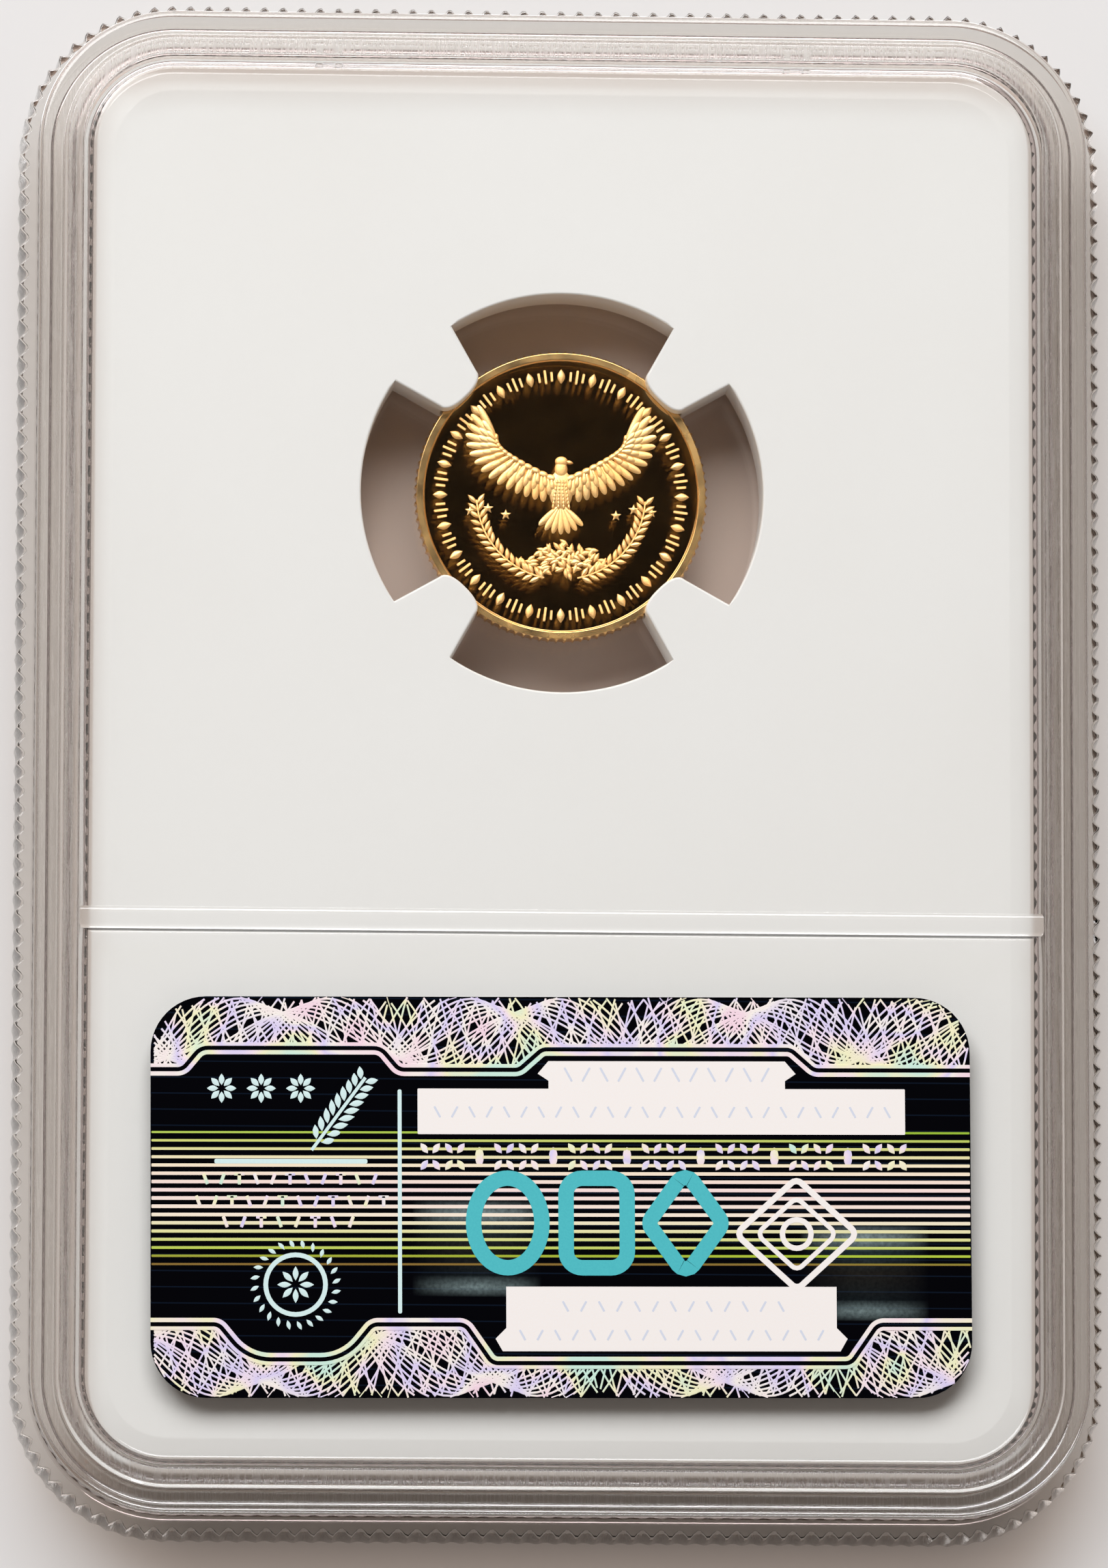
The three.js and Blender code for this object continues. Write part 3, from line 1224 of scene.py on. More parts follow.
    def ghost(self, tree: Tree, split: Node, colour: Socket, at: Point) -> Socket:
        """Adds the blurred image that the grating floats behind the print: bright above and below.

        Args:
            tree: The material's tree.
            split: The node that gives X and Y.
            colour: The colour under the image.
            at: The image's middle.

        Returns:
            The colour's socket.
        """
        shares = []
        for axis, middle, reach in zip("XY", at, self.ghost_reach):
            share = add(
                tree,
                "ShaderNodeMapRange",
                {
                    "Value": split.outputs[axis],
                    "From Min": (middle - reach) * MM,
                    "From Max": (middle + reach) * MM,
                },
            )
            shares.append(share.outputs[0])
        side = add(tree, "ShaderNodeValToRGB", {"Fac": shares[0]})
        stops = ((0.0, "000000"), (0.25, "b0b0b0"), (0.5, "e0e0e0"), (0.8, "b0b0b0"), (1.0, "000000"))
        fill_ramp(side, stops)
        rise = add(tree, "ShaderNodeValToRGB", {"Fac": shares[1]})
        stops = (
            (0.0, "000000"),
            (0.1, "9db4b4"),
            (0.22, "20292b"),
            (0.5, "322f27"),
            (0.72, "35474a"),
            (0.86, "b9cfd0"),
            (1.0, "000000"),
        )
        fill_ramp(rise, stops)
        dots = add(
            tree,
            "ShaderNodeTexNoise",
            {"Vector": add(tree, "ShaderNodeTexCoord").outputs["Object"], "Scale": 1 / (0.18 * MM)},
        )
        steps = (
            ("MULTIPLY", 1.0, side.outputs[0]),
            ("MULTIPLY", 0.8, dots.outputs["Fac"]),
            ("ADD", 1.0, colour),
        )
        level = rise.outputs[0]
        for blend, amount, other in steps:
            links = {0: amount, 6: level, 7: other}
            level = add(tree, "ShaderNodeMix", links, data_type="RGBA", blend_type=blend).outputs[2]
        return level


def fill_ramp(ramp: Node, stops: tuple[tuple[float, str], ...]) -> None:
    """Sets a colour ramp's stops.

    Args:
        ramp: The ramp node.
        stops: Each stop's place and hex colour, in order.
    """
    elements = ramp.color_ramp.elements
    elements[0].position, elements[0].color = stops[0][0], linear(stops[0][1])
    elements[1].position, elements[1].color = stops[-1][0], linear(stops[-1][1])
    for position, colour in stops[1:-1]:
        elements.new(position).color = linear(colour)


@dataclass(frozen=True)
class CoatedCard:
    """Coated paper card, offset printed: satin, with a faint fibre under the ink."""

    name: str
    colour: str
    fibre: float = 0.35

    def material(self) -> Finish:
        """Builds the material.

        Returns:
            The material.
        """
        material, tree, output = new_material("coated_card_" + self.name)
        place = add(tree, "ShaderNodeTexCoord").outputs["Object"]
        fibre = add(
            tree, "ShaderNodeTexNoise", {"Vector": place, "Scale": 1 / (self.fibre * MM), "Detail": 4.0}
        )
        shade = add(
            tree,
            "ShaderNodeMapRange",
            {"Value": fibre.outputs["Fac"], "To Min": 0.94, "To Max": 1.04},
        )
        colour = add(
            tree,
            "ShaderNodeVectorMath",
            {0: linear(self.colour)[:3], "Scale": shade.outputs[0]},
            operation="SCALE",
        )
        bump = add(
            tree, "ShaderNodeBump", {"Height": fibre.outputs["Fac"], "Distance": 0.006 * MM, "Strength": 0.4}
        )
        body = add(
            tree,
            "ShaderNodeBsdfPrincipled",
            {"Base Color": colour.outputs[0], "Roughness": 0.6, "Normal": bump.outputs[0]},
        )
        tree.links.new(body.outputs[0], output.inputs["Surface"])
        return material


# ---- Sub-assemblies -------------------------------------------------------------------------


@dataclass
class Shells:
    """The two clear half shells.

    Sizes that the frame gives are read from it, and the rest are the fields here, as insets from
    the slab's outline or as lengths.
    """

    corner: float = 8.8
    window_edge: float = 4.25
    wall: float = 3.0
    window_thick: float = 1.2
    recess: float = 1.0
    ridge: Point = (2.55, 3.6)
    ledge_drop: float = 0.4
    draft: float = 0.1
    tongue: Point = (1.9, 2.5)
    tongue_height: float = 0.6
    slack: float = 0.08
    seam_gap: float = 0.03
    reed_pitch: float = 1.05
    reed_depth: float = 0.42
    reed_base: float = 0.9
    reed_foot: float = 0.25
    reed_steps: int = 6
    rim: float = 1.3
    divider_y: float = -9.1
    divider_width: float = 1.4
    divider_drop: float = 0.15
    rib_x: float = 13.2
    rib_spacing: float = 1.1
    outline: Outline = field(init=False)

    def __post_init__(self) -> None:
        """Reads the outer sizes from the frame."""
        low, high = node_box("front_shell")
        rear_low, rear_high = node_box("rear_shell")
        self.outline = Outline(high.x - low.x, high.y - low.y, self.corner)
        self.step = high.x - rear_high.x
        self.seam = rear_low.z
        self.top = rear_high.z

    def divider(self, low: float, high: float, name: str) -> Piece:
        """Bar across a window with a rounded top, a little longer than the window is wide.

        Args:
            low: Where the bar starts, inside the window.
            high: The height of its free side.
            name: The bar's name.

        Returns:
            The bar.
        """
        half = self.outline.width / 2 - self.ridge[1] - 0.02
        section = filleted(
            [
                (self.divider_width / 2, low, 0),
                (self.divider_width / 2 - 0.08, high, 0.28),
                (-self.divider_width / 2 + 0.08, high, 0.28),
                (-self.divider_width / 2, low, 0),
            ],
            6,
        )
        draft = Draft()
        rings = [
            draft.ring([Vector((x, self.divider_y + y, z)) for y, z in section]) for x in (-half, half)
        ]
        if high < low:
            rings.reverse()
        draft.bridge(rings[0], rings[1])
        draft.faces.append((rings[0][::-1], 0))
        draft.faces.append((rings[1], 0))
        return draft.build(name, [])

    def rear(self, clear: Finish, painted_shade_wall: Finish) -> Piece:
        """Rear half: window, ledge, ridge, weld groove and divider.

        Args:
            clear: The plastic.
            painted_shade_wall: The same plastic with a dark brown tint, for the outer wall that is looked at
                edge on; the tint is painted shade, a dark line along the step.

        Returns:
            The shell.
        """
        top, seam = self.top, self.seam + self.seam_gap
        window = top - self.recess
        ceiling = window - self.window_thick
        ledge = top - self.ledge_drop
        groove = (self.tongue[0] - self.slack, self.tongue[1] + self.slack)
        profile = filleted(
            [
                (self.wall + 0.6, ceiling, 0),
                (self.wall, ceiling, 0.25),
                (self.wall, seam, 0.1),
                (groove[1], seam, 0.08),
                (groove[1], self.seam + self.tongue_height + self.slack, 0.15),
                (groove[0], self.seam + self.tongue_height + self.slack, 0.15),
                (groove[0], seam, 0.08),
                (self.step, seam, 0.06),
                (self.step + self.draft, ledge, 0.35),
                (self.ridge[0], ledge, 0.12),
                (self.ridge[0] + 0.15, top, 0.16),
                (self.ridge[1], top, 0.2),
                (self.window_edge, window, 0.3),
                (self.window_edge + 0.9, window, 0),
            ]
        )
        # The outer wall's faces take slot 1, whose dark tint is painted shade along the step.
        outer = self.step + self.draft + 0.05
        slots = [1 if max(a[0], b[0]) < outer else 0 for a, b in zip(profile, profile[1:])]
        draft = Draft()
        draft.sweep(self.outline.stations(28, (6, 6)), profile, slots)
        shell = draft.build("rear_shell_clear", [clear, painted_shade_wall])
        parts = [self.divider(window - 0.3, top - self.divider_drop, "rear_bar")]
        wall_y = self.outline.height / 2 - self.wall
        for x in (
            side * self.rib_x + offset
            for side in (-1, 1)
            for offset in (-self.rib_spacing / 2, self.rib_spacing / 2)
        ):
            rib = Draft()
            rib.prism(
                Outline(0.42, 0.45, 0.12, (x, wall_y - 0.02)).points(4), ceiling - 1.4, ceiling + 0.3
            )
            parts.append(rib.build("rib", []))
        shell = joined(shell, parts)
        declare(shell, "clear_shell", "rear_shell")
        return shell

    def front(self, clear: Finish) -> Piece:
        """Front half: window, rim, reeded flange, weld tongue and divider.

        Args:
            clear: The plastic.

        Returns:
            The shell.
        """
        window, floor = self.recess, self.recess + self.window_thick
        corners = [
            (self.window_edge + 0.9, window, 0),
            (self.window_edge, window, 0.3),
            (self.ridge[1], 0.0, 0.2),
            (self.rim, 0.0, 0.3),
            (0.3, self.reed_base - 0.3, 0.2),
            (0.0, self.reed_base, 0.15),
            (self.draft, self.seam, 0.14),
            (self.step, self.seam, 0),
            (self.tongue[0], self.seam, 0),
            (self.tongue[0], self.seam + self.tongue_height, 0.12),
            (self.tongue[1], self.seam + self.tongue_height, 0.12),
            (self.tongue[1], self.seam, 0),
            (self.wall, self.seam, 0.1),
            (self.wall, floor, 0.25),
            (self.wall + 0.6, floor, 0),
        ]
        profile = filleted(corners, 3)
        spans = (self.outline.width - 2 * self.corner, self.outline.height - 2 * self.corner)
        step = self.reed_pitch / self.reed_steps
        stations = self.outline.stations(
            round(self.corner * math.pi / 2 / step), tuple(round(s / step) for s in spans)
        )
        draft = Draft()
        draft.sweep(stations, profile)
        shell = draft.build("front_shell_clear", [clear])
        shares = [reed_share(inset, z, self) for inset, z in profile]
        reed(shell, stations, shares, self.reed_pitch, self.reed_depth, clear)
        shell = joined(shell, [self.divider(floor - 0.9, self.divider_drop, "front_bar")])
        declare(shell, "clear_shell", "front_shell")
        return shell


def reed_share(inset: float, height: float, shells: Shells) -> float:
    """How much of the full flute depth a profile point takes. Flutes deepen from the foot to the seam.

    Args:
        inset: The point's inset.
        height: The point's height.
        shells: The shells, for their sizes.

    Returns:
        A share from 0 to 1.
    """
    if height > shells.seam + 0.01 or inset >= shells.step - 0.05:
        return 0.0
    foot = min(1.0, max(0.0, (height - 0.1) / (shells.reed_base - 0.1)))
    rise = min(1.0, max(0.0, (height - shells.reed_base) / (shells.seam - shells.reed_base)))
    return foot * (shells.reed_foot + (1 - shells.reed_foot) * rise)


def reed(
    piece: Piece,
    stations: list[Station],
    shares: list[float],
    pitch: float,
    depth: float,
    material: Finish,
) -> None:
    """Runs the reeding tree on a swept piece.

    Args:
        piece: A piece swept with these stations, one ring for each share.
        stations: The outline's stations.
        shares: How much of the depth each ring takes.
        pitch: Reed spacing, rounded so that whole reeds go round.
        depth: Flute depth.
        material: The piece's material.
    """
    last = stations[-1]
    total = last.along + (stations[0].point - last.point).length
    reeds = round(total / pitch)
    mesh = piece.data
    turns, weights, inward = [], [], []
    for share in shares:
        for station in stations:
            turns.append(station.along / total * reeds)
            weights.append(share)
            inward.extend((-station.normal.x, -station.normal.y, 0.0))
    mesh.attributes.new("reed_turn", "FLOAT", "POINT").data.foreach_set("value", turns)
    mesh.attributes.new("reed_share", "FLOAT", "POINT").data.foreach_set("value", weights)
    mesh.attributes.new("reed_inward", "FLOAT_VECTOR", "POINT").data.foreach_set("vector", inward)
    run_tree(piece, reeding_tree(), {"Depth": depth * MM, "Material": material})
    smooth(piece, 40.0)


@dataclass
class CoreInsert:
    """The white insert: a bevelled plate with the coin opening, four prongs and the label pocket."""

    edge: float = 3.3
    bevel_edge: float = 5.4
    bevel_drop: float = 0.22
    opening: float = 11.3
    opening_half: float = math.radians(33.6)
    tip_radius: float = 7.65
    tip_width: float = 1.9
    neck_radius: float = 8.3
    neck_width: float = 2.9
    edge_round: float = 0.12
    pocket_gap: float = 0.15

    def opening_points(self, centre: Vector, grow: float = 0.0) -> list[Vector]:
        """Outline of the coin opening, anticlockwise.

        Args:
            centre: The opening's middle.
            grow: How far the outline is moved outwards, into the plate.

        Returns:
            Its points.
        """
        points: list[Vector] = []
        for quarter in range(4):
            middle = quarter * math.pi / 2
            for i in range(29):
                a = middle + self.opening_half * (i / 14 - 1)
                points.append(spoke(a) * self.opening)
            along = spoke(middle + math.pi / 4)
            across = Vector((-along.y, along.x))
            neck, tip = self.neck_width / 2, self.tip_width / 2
            for i in range(17):
                t = i / 8 - 1
                # Neck and tip are one smooth superellipse arc, flat at its end.
                w = math.copysign(abs(math.sin(t * math.pi / 2)) ** 0.85, t)
                fall = (1 - math.cos(t * math.pi / 2)) ** 1.3
                r = self.tip_radius + (self.neck_radius - self.tip_radius) * fall
                points.append(along * r + across * (w * (neck + (tip - neck) * (1 - abs(t)) ** 2)))
        grown = []
        for i, here in enumerate(points):
            ahead = points[(i + 1) % len(points)] - points[i - 1]
            grown.append(centre.xy + here + Vector((ahead.y, -ahead.x)).normalized() * grow)
        return grown

    def build(self, slab: Outline, white: Finish) -> Piece:
        """Builds the insert.

        Args:
            slab: The slab's outline, which the plate follows.
            white: Its material.

        Returns:
            The insert.
        """
        low, high = node_box("core")
        coin_low, coin_high = node_box("coin")
        label_low, label_high = node_box("grading_label")
        centre = (coin_low + coin_high) / 2
        stations = slab.stations(24, (2, 2))
        profile = filleted(
            [
                (self.bevel_edge + 0.4, low.z, 0),
                (self.bevel_edge, low.z, 1.2),
                (self.edge, low.z + self.bevel_drop, 0.25),
                (self.edge, high.z - self.bevel_drop, 0.25),
                (self.bevel_edge, high.z, 1.2),
                (self.bevel_edge + 0.4, high.z, 0),
            ],
            6,
        )
        draft = Draft()
        rings = draft.rings(stations, profile)
        for first, second in zip(rings, rings[1:]):
            draft.bridge(first, second)
        # The opening's wall, with a small round at both faces.
        walls = [
            draft.level(self.opening_points(centre, grow), z)
            for grow, z in self.wall_profile(low.z, high.z)
        ]
        for first, second in zip(walls, walls[1:]):
            draft.bridge(second, first)
        # The label's pocket in the front face.
        size = label_high - label_low
        middle = (label_low + label_high) / 2
        pocket = Outline(size.x + 2 * self.pocket_gap, size.y + 2 * self.pocket_gap, 1.6, tuple(middle.xy))
        mouth = draft.level(pocket.points(6), low.z)
        roof = draft.level(pocket.points(6), label_high.z + 0.05)
        draft.bridge(roof, mouth)
        draft.cap(roof, up=False)
        self.face(draft, [rings[-1], walls[-1]], up=True)
        self.face(draft, [rings[0], walls[0], mouth], up=False)
        core = draft.build("core_insert", [white])
        self.cut_grip(core, centre, (coin_high - coin_low))
        declare(core, "white_core", "core")
        return core

    def wall_profile(self, low: float, high: float) -> list[Point]:
        """The opening wall's profile as (growth, height), rounded where it meets both faces.

        Args:
            low: The plate's underside.
            high: The plate's top.

        Returns:
            The profile, from the underside up.
        """
        turn = [math.pi / 2 * i / 4 for i in range(5)]
        r = self.edge_round
        lower = [(r * (1 - math.sin(a)), low + r * (1 - math.cos(a))) for a in turn]
        upper = [(g, high - (z - low)) for g, z in reversed(lower)]
        return lower + upper

    @staticmethod
    def face(draft: Draft, rings: list[list[int]], up: bool) -> None:
        """Fills the flat area inside the first ring and outside the others.

        Args:
            draft: The draft that holds the rings.
            rings: The outer ring first, then each hole's.
            up: Whether the area looks up.
        """
        order = [i for ring in rings for i in ring]
        loops = [[draft.vertices[i] for i in ring] for ring in rings]
        for triangle in tessellate_polygon(loops):
            a, b, c = (order[i] for i in triangle)
            va, vb, vc = (draft.vertices[i] for i in (a, b, c))
            faces_up = (vb - va).cross(vc - va).z > 0
            draft.faces.append(([a, b, c] if faces_up == up else [a, c, b], 0))

    @staticmethod
    def cut_grip(core: Piece, centre: Vector, coin: Vector) -> None:
        """Cuts the groove in the prong tips that holds the coin's edge.

        Args:
            core: The insert, which is changed.
            centre: The coin's middle.
            coin: The coin's size.
        """
        disc = Draft()
        rim = Outline(coin.x + 0.1, coin.x + 0.1, coin.x / 2 + 0.05, tuple(centre.xy))
        edge = [s.point for s in rim.stations(32, (0, 0))]
        disc.prism(edge, centre.z - coin.z / 2 - 0.05, centre.z + coin.z / 2 + 0.05)
        cutter = disc.build("grip_cutter", [])
        cut = core.modifiers.new("grip", "BOOLEAN")
        cut.operation, cut.solver, cut.object = "DIFFERENCE", "EXACT", cutter
        baked(core)
        bpy.data.objects.remove(cutter)
        smooth(core)


@dataclass
class Coin:
    """The struck coin: reeded edge, raised rim, mirror field and frosted relief on both faces."""

    rim: float = 0.5
    field_drop: float = 0.1
    reeds: int = 110
    reed_depth: float = 0.16
    ring_radius: float = 6.8
    ring_units: int = 24

    def build(self, ornament: Ornament) -> list[Piece]:
        """Builds the blank and its relief, rear face up.

        Args:
            ornament: The maker of repeated forms.

        Returns:
            The blank and the relief.
        """
        low, high = node_box("coin")
        self.centre = (low + high) / 2
        self.radius = (high.x - low.x) / 2
        self.half = (high.z - low.z) / 2
        materials = {s: StruckGold(s).material() for s in Strike}
        self.ornament, self.frost = ornament, materials[Strike.FROST]
        blank = self.blank(materials)
        relief = self.relief()
        declare(blank, "gold", "coin")
        declare(relief, "gold")
        return [blank, relief]

    def blank(self, materials: dict[Strike, Finish]) -> Piece:
        """The turned form: field, rim and reeded edge.

        Args:
            materials: The finish for each way of striking.

        Returns:
            The blank.
        """
        r, half, field_z = self.radius, self.half, self.half - self.field_drop
        corners = [
            (r * 0.5, -field_z, 0),
            (self.rim + 0.06, -field_z, 0.05),
            (self.rim, -half, 0.06),
            (0.14, -half, 0.05),
            (0.0, -half + 0.16, 0),
            (0.0, half - 0.16, 0),
            (0.14, half, 0.05),
            (self.rim, half, 0.06),
            (self.rim + 0.06, field_z, 0.05),
            (r * 0.5, field_z, 0),
        ]
        profile = [(i, z + self.centre.z) for i, z in filleted(corners, 4)]
        outline = Outline(2 * r, 2 * r, r, tuple(self.centre.xy))
        stations = outline.stations(self.reeds * 6 // 4, (0, 0))
        draft = Draft()
        draft.sweep(stations, profile)
        blank = draft.build("coin_blank", [materials[Strike.RIM]])
        shares = [1.0 if i < 0.04 else 0.0 for i, _ in profile]
        reed(blank, stations, shares, math.tau * r / self.reeds, self.reed_depth, materials[Strike.RIM])
        blank.data.materials.append(materials[Strike.MIRROR])
        for polygon in blank.data.polygons:
            away = (Vector(polygon.center) / MM - self.centre).xy.length
            inner = max(
                (Vector(blank.data.vertices[v].co) / MM - self.centre).xy.length for v in polygon.vertices
            )
            if inner < r - self.rim - 0.05 or away < r * 0.5:
                polygon.material_index = 1
        return blank

    def on_face(self, x: float, y: float, lift: float = 0.0) -> Vector:
        """A place on the rear field, given from the coin's middle, and a height above the field."""
        z = self.half - self.field_drop + lift
        return Vector((self.centre.x + x, self.centre.y + y, self.centre.z + z))

    def raised(self, name: str, shape: Shape, marks: list[Mark]) -> Piece:
        """Frosted ornament that stands up from the field."""
        return self.ornament.make(name, shape, marks, self.frost)

    def relief(self) -> Piece:
        """All raised work: a border on both faces, a bird over a garland behind, a sun in front.

        Returns:
            One piece that holds all raised work.
        """
        rear = [*self.border(), *self.bird(), *self.garland()]
        front = [*self.border(), *self.sun()]
        middle = Matrix.Translation(self.centre * MM)
        for piece in front:
            piece.data.transform(middle @ Matrix.Rotation(math.pi, 4, "Y") @ middle.inverted())
        return merged("coin_relief", rear + front)

    def border(self) -> list[Piece]:
        """A ring of leaves and bars inside the rim.

        Returns:
            The border's pieces.
        """
        leaves, bars = [], []
        for a in full_turn(self.ring_units):
            root = self.on_face(*spoke(a) * (self.ring_radius - 0.42))
            leaves.append(Mark(root, a, (0.84, 0.44, 0.07)))
            for k, length in ((0.3, 0.55), (0.5, 0.8), (0.7, 0.55)):
                b = a + math.tau * k / self.ring_units
                at = self.on_face(*spoke(b) * self.ring_radius)
                bars.append(Mark(at, b, (length, 0.14, 0.055)))
        return [
            self.raised("border_leaves", Shape.LEAF, leaves),
            self.raised("border_bars", Shape.BAR, bars),
        ]

    def bird(self) -> list[Piece]:
        """A bird seen from the front, wings raised, built up from rows of feathers.

        Returns:
            The bird's pieces.
        """
        feathers, shoulders = [], []
        rows = (
            # count, where it starts and ends on the wing, feather length at root and tip, width, lift
            (15, 0.1, 1.0, 1.5, 2.1, 0.52, 0.0),
            (14, 0.04, 0.97, 1.05, 1.3, 0.46, 0.035),
            (13, 0.0, 0.93, 0.7, 0.8, 0.42, 0.06),
        )
        for side in (-1, 1):
            for count, first, last, root_length, tip_length, width, lift in rows:
                for i in range(count):
                    t = first + (last - first) * i / (count - 1)
                    x, y = self.wing(t)
                    lean = math.radians(-98 + 158 * t**1.4)
                    length = root_length + (tip_length - root_length) * t
                    turn = lean if side > 0 else math.pi - lean
                    feathers.append(Mark(self.on_face(side * x, y, lift), turn, (length, width, 0.07)))
            for i in range(12):
                t = i / 11
                (x, y), (ahead_x, ahead_y) = self.wing(t), self.wing(t + 0.02)
                turn = math.atan2(ahead_y - y, side * (ahead_x - x))
                size = (0.62 - 0.2 * t, 0.42 - 0.18 * t, 0.12)
                shoulders.append(Mark(self.on_face(side * x, y), turn, size))
        for i in range(7):
            turn = math.radians(-90 + 15 * (i - 3))
            feathers.append(Mark(self.on_face(0.0, -0.45), turn, (1.75, 0.46, 0.06)))
        breast = [
            Mark(
                self.on_face(0.16 * (i - 1.5) * (1 + 0.12 * row), 0.95 - 0.2 * row, 0.1),
                math.radians(-90),
                (0.3, 0.2, 0.045),
            )
            for row in range(8)
            for i in range(4)
        ]
        domes = [
            Mark(self.on_face(0, 0.35), math.pi / 2, (2.3, 1.35, 0.12)),
            Mark(self.on_face(0, 1.5), math.pi / 2, (1.0, 0.72, 0.13)),
            Mark(self.on_face(0.02, 1.95, 0.01), 0.0, (0.72, 0.58, 0.12)),
            *shoulders,
        ]
        beak = [Mark(self.on_face(0.24, 1.96, 0.03), math.radians(-12), (0.46, 0.22, 0.07))]
        return [
            self.raised("bird_feathers", Shape.FEATHER, feathers),
            self.raised("bird_breast", Shape.FEATHER, breast),
            self.raised("bird_body", Shape.DOME, domes),
            self.raised("bird_beak", Shape.LEAF, beak),
        ]

    @staticmethod
    def wing(share: float) -> Point:
        """A point of the wing's leading edge: 0 is the shoulder and 1 is the tip."""
        x = 0.55 + 3.1 * math.sin(min(share, 1.0) * math.pi / 2)
        return x, 1.0 + 0.65 * math.sin(share * math.pi) + 2.3 * share**2.2

    def garland(self) -> list[Piece]:
        """Two leafy sprays under the bird, with a bed of leaves where they meet, and stars beside it.

        Returns:
            The garland's pieces.
        """
        draw = random.Random(7)
        leaves, stems = [], []
        for side in (-1, 1):
            for i in range(15):
                a = math.radians(-90 + side * (14 + 5.0 * i))
                at = spoke(a) * 4.75
                stems.append(Mark(self.on_face(*at), a + math.pi / 2, (0.46, 0.09, 0.05)))
                for tilt in (-0.75, 0.75):
                    turn = a + side * math.pi / 2 + side * tilt + draw.uniform(-0.1, 0.1)
                    leaves.append(Mark(self.on_face(*at, 0.01), turn, (0.72, 0.27, 0.06)))
        for _ in range(90):
            a, share = draw.uniform(0, math.tau), math.sqrt(draw.random())
            x, y = 2.3 * share * math.cos(a), -3.55 + 0.75 * share * math.sin(a)
            place = self.on_face(x, y, 0.035 * (1 - share))
            leaves.append(Mark(place, draw.uniform(0, math.tau), (0.62, 0.26, 0.06)))
        stars = [
            Mark(self.on_face(side * x, y), 0.0, (0.62, 0.62, 0.07))
            for side in (-1, 1)
            for x, y in ((3.1, -1.1), (4.1, -0.75), (5.1, -0.9))
        ]
        return [
            self.raised("garland_leaves", Shape.LEAF, leaves),
            self.raised("garland_stems", Shape.BAR, stems),
            self.raised("garland_stars", Shape.STAR, stars),
        ]

    def sun(self) -> list[Piece]:
        """A rayed sun with a wreath round it.

        Returns:
            The sun's pieces.
        """
        rays, leaves = [], []
        for i, a in enumerate(full_turn(32)):
            size = (2.2 if i % 2 == 0 else 1.5, 0.3, 0.07)
            rays.append(Mark(self.on_face(*spoke(a) * 1.6), a, size))
        for a in full_turn(40):
            at = spoke(a) * 4.9
            for tilt in (-0.6, 0.6):
                leaves.append(Mark(self.on_face(*at), a + math.pi / 2 + tilt, (0.8, 0.3, 0.06)))
        disc = [Mark(self.on_face(0, 0), 0.0, (2.8, 2.8, 0.11))]
        return [
            self.raised("sun_rays", Shape.LEAF, rays),
            self.raised("sun_wreath", Shape.LEAF, leaves),
            self.raised("sun_disc", Shape.DOME, disc),
        ]


@dataclass
class GuillocheRun:
    """One bundle of strands. Lengths are in millimetres and phases in turns."""

    swing: float
    waves: float
    strands: int
    swing_step: float = 0.0
    phase: float = 0.0
    phase_step: float = 0.0
    steps: int = 120
    line: float = 0.06


@dataclass
class PrintedSheet:
    """A rounded sheet with print on it, drawn flat about its own middle with its face up.

    Args:
        size: Width, height and thickness.
        corner: Its corner radius.
    """

    size: Vector
    corner: float
    ornament: Ornament
    strands: Tree
    pieces: list[Piece] = field(default_factory=list)

    def print_draft(self, name: str, draft: Draft, finish: Finish) -> None:
        """Adds a drawn area."""
        self.pieces.append(draft.build(name, [finish]))

    def print_marks(self, name: str, shape: Shape, marks: list[Mark], finish: Finish) -> None:
        """Adds repeated marks."""
        self.pieces.append(self.ornament.make(name, shape, marks, finish))

    def print_strands(
        self, name: str, middle: tuple[float, float, float], run: GuillocheRun, finish: Finish
    ) -> None:
        """Adds a bundle of strands that stops at the sheet's outline.

        Args:
            name: The bundle's name.
            middle: The middle of its run.
            run: The bundle's sizes.
            finish: The ink.
        """
        mesh = bpy.data.meshes.new(name)
        made = bpy.data.objects.new(name, mesh)
        bpy.context.collection.objects.link(made)
        values = {
            "Length": (self.size.x + 2) * MM,
            "Swing": run.swing * MM,
            "Swing Step": run.swing_step * MM,
            "Waves": run.waves,
            "Phase": run.phase,
            "Phase Step": run.phase_step,
            "Strands": run.strands,
            "Steps": run.steps,
            "Line Radius": run.line * MM,
            "Centre": Vector(middle) * MM,
            "Half Size": Vector((self.size.x / 2, self.size.y / 2, 1.0)) * MM,
            "Corner": (self.corner - 0.05) * MM,
            "Material": finish,
        }
        run_tree(made, self.strands, values)
        smooth(made, 60.0)
        self.pieces.append(made)

    def place(self, name: str, where: Matrix) -> Piece:
        """Puts all print into one piece and moves its mesh to where the sheet lies.

        Args:
            name: The piece's name.
            where: Where the sheet lies.

        Returns:
            The piece.
        """
        made = merged(name, self.pieces)
        made.data.transform(where)
        made.data.update()
        return made


def shifted(path: list[Point], distance: float) -> list[Vector]:
    """An open path moved sideways, to its left for a positive distance.

    Args:
        path: The open path.
        distance: How far it moves.

    Returns:
        The moved path.
    """
    moved = []
    for i, here in enumerate(path):
        ahead = Vector(path[min(i + 1, len(path) - 1)]) - Vector(path[max(i - 1, 0)])
        moved.append(Vector(here) + Vector((-ahead.y, ahead.x)).normalized() * distance)
    return moved


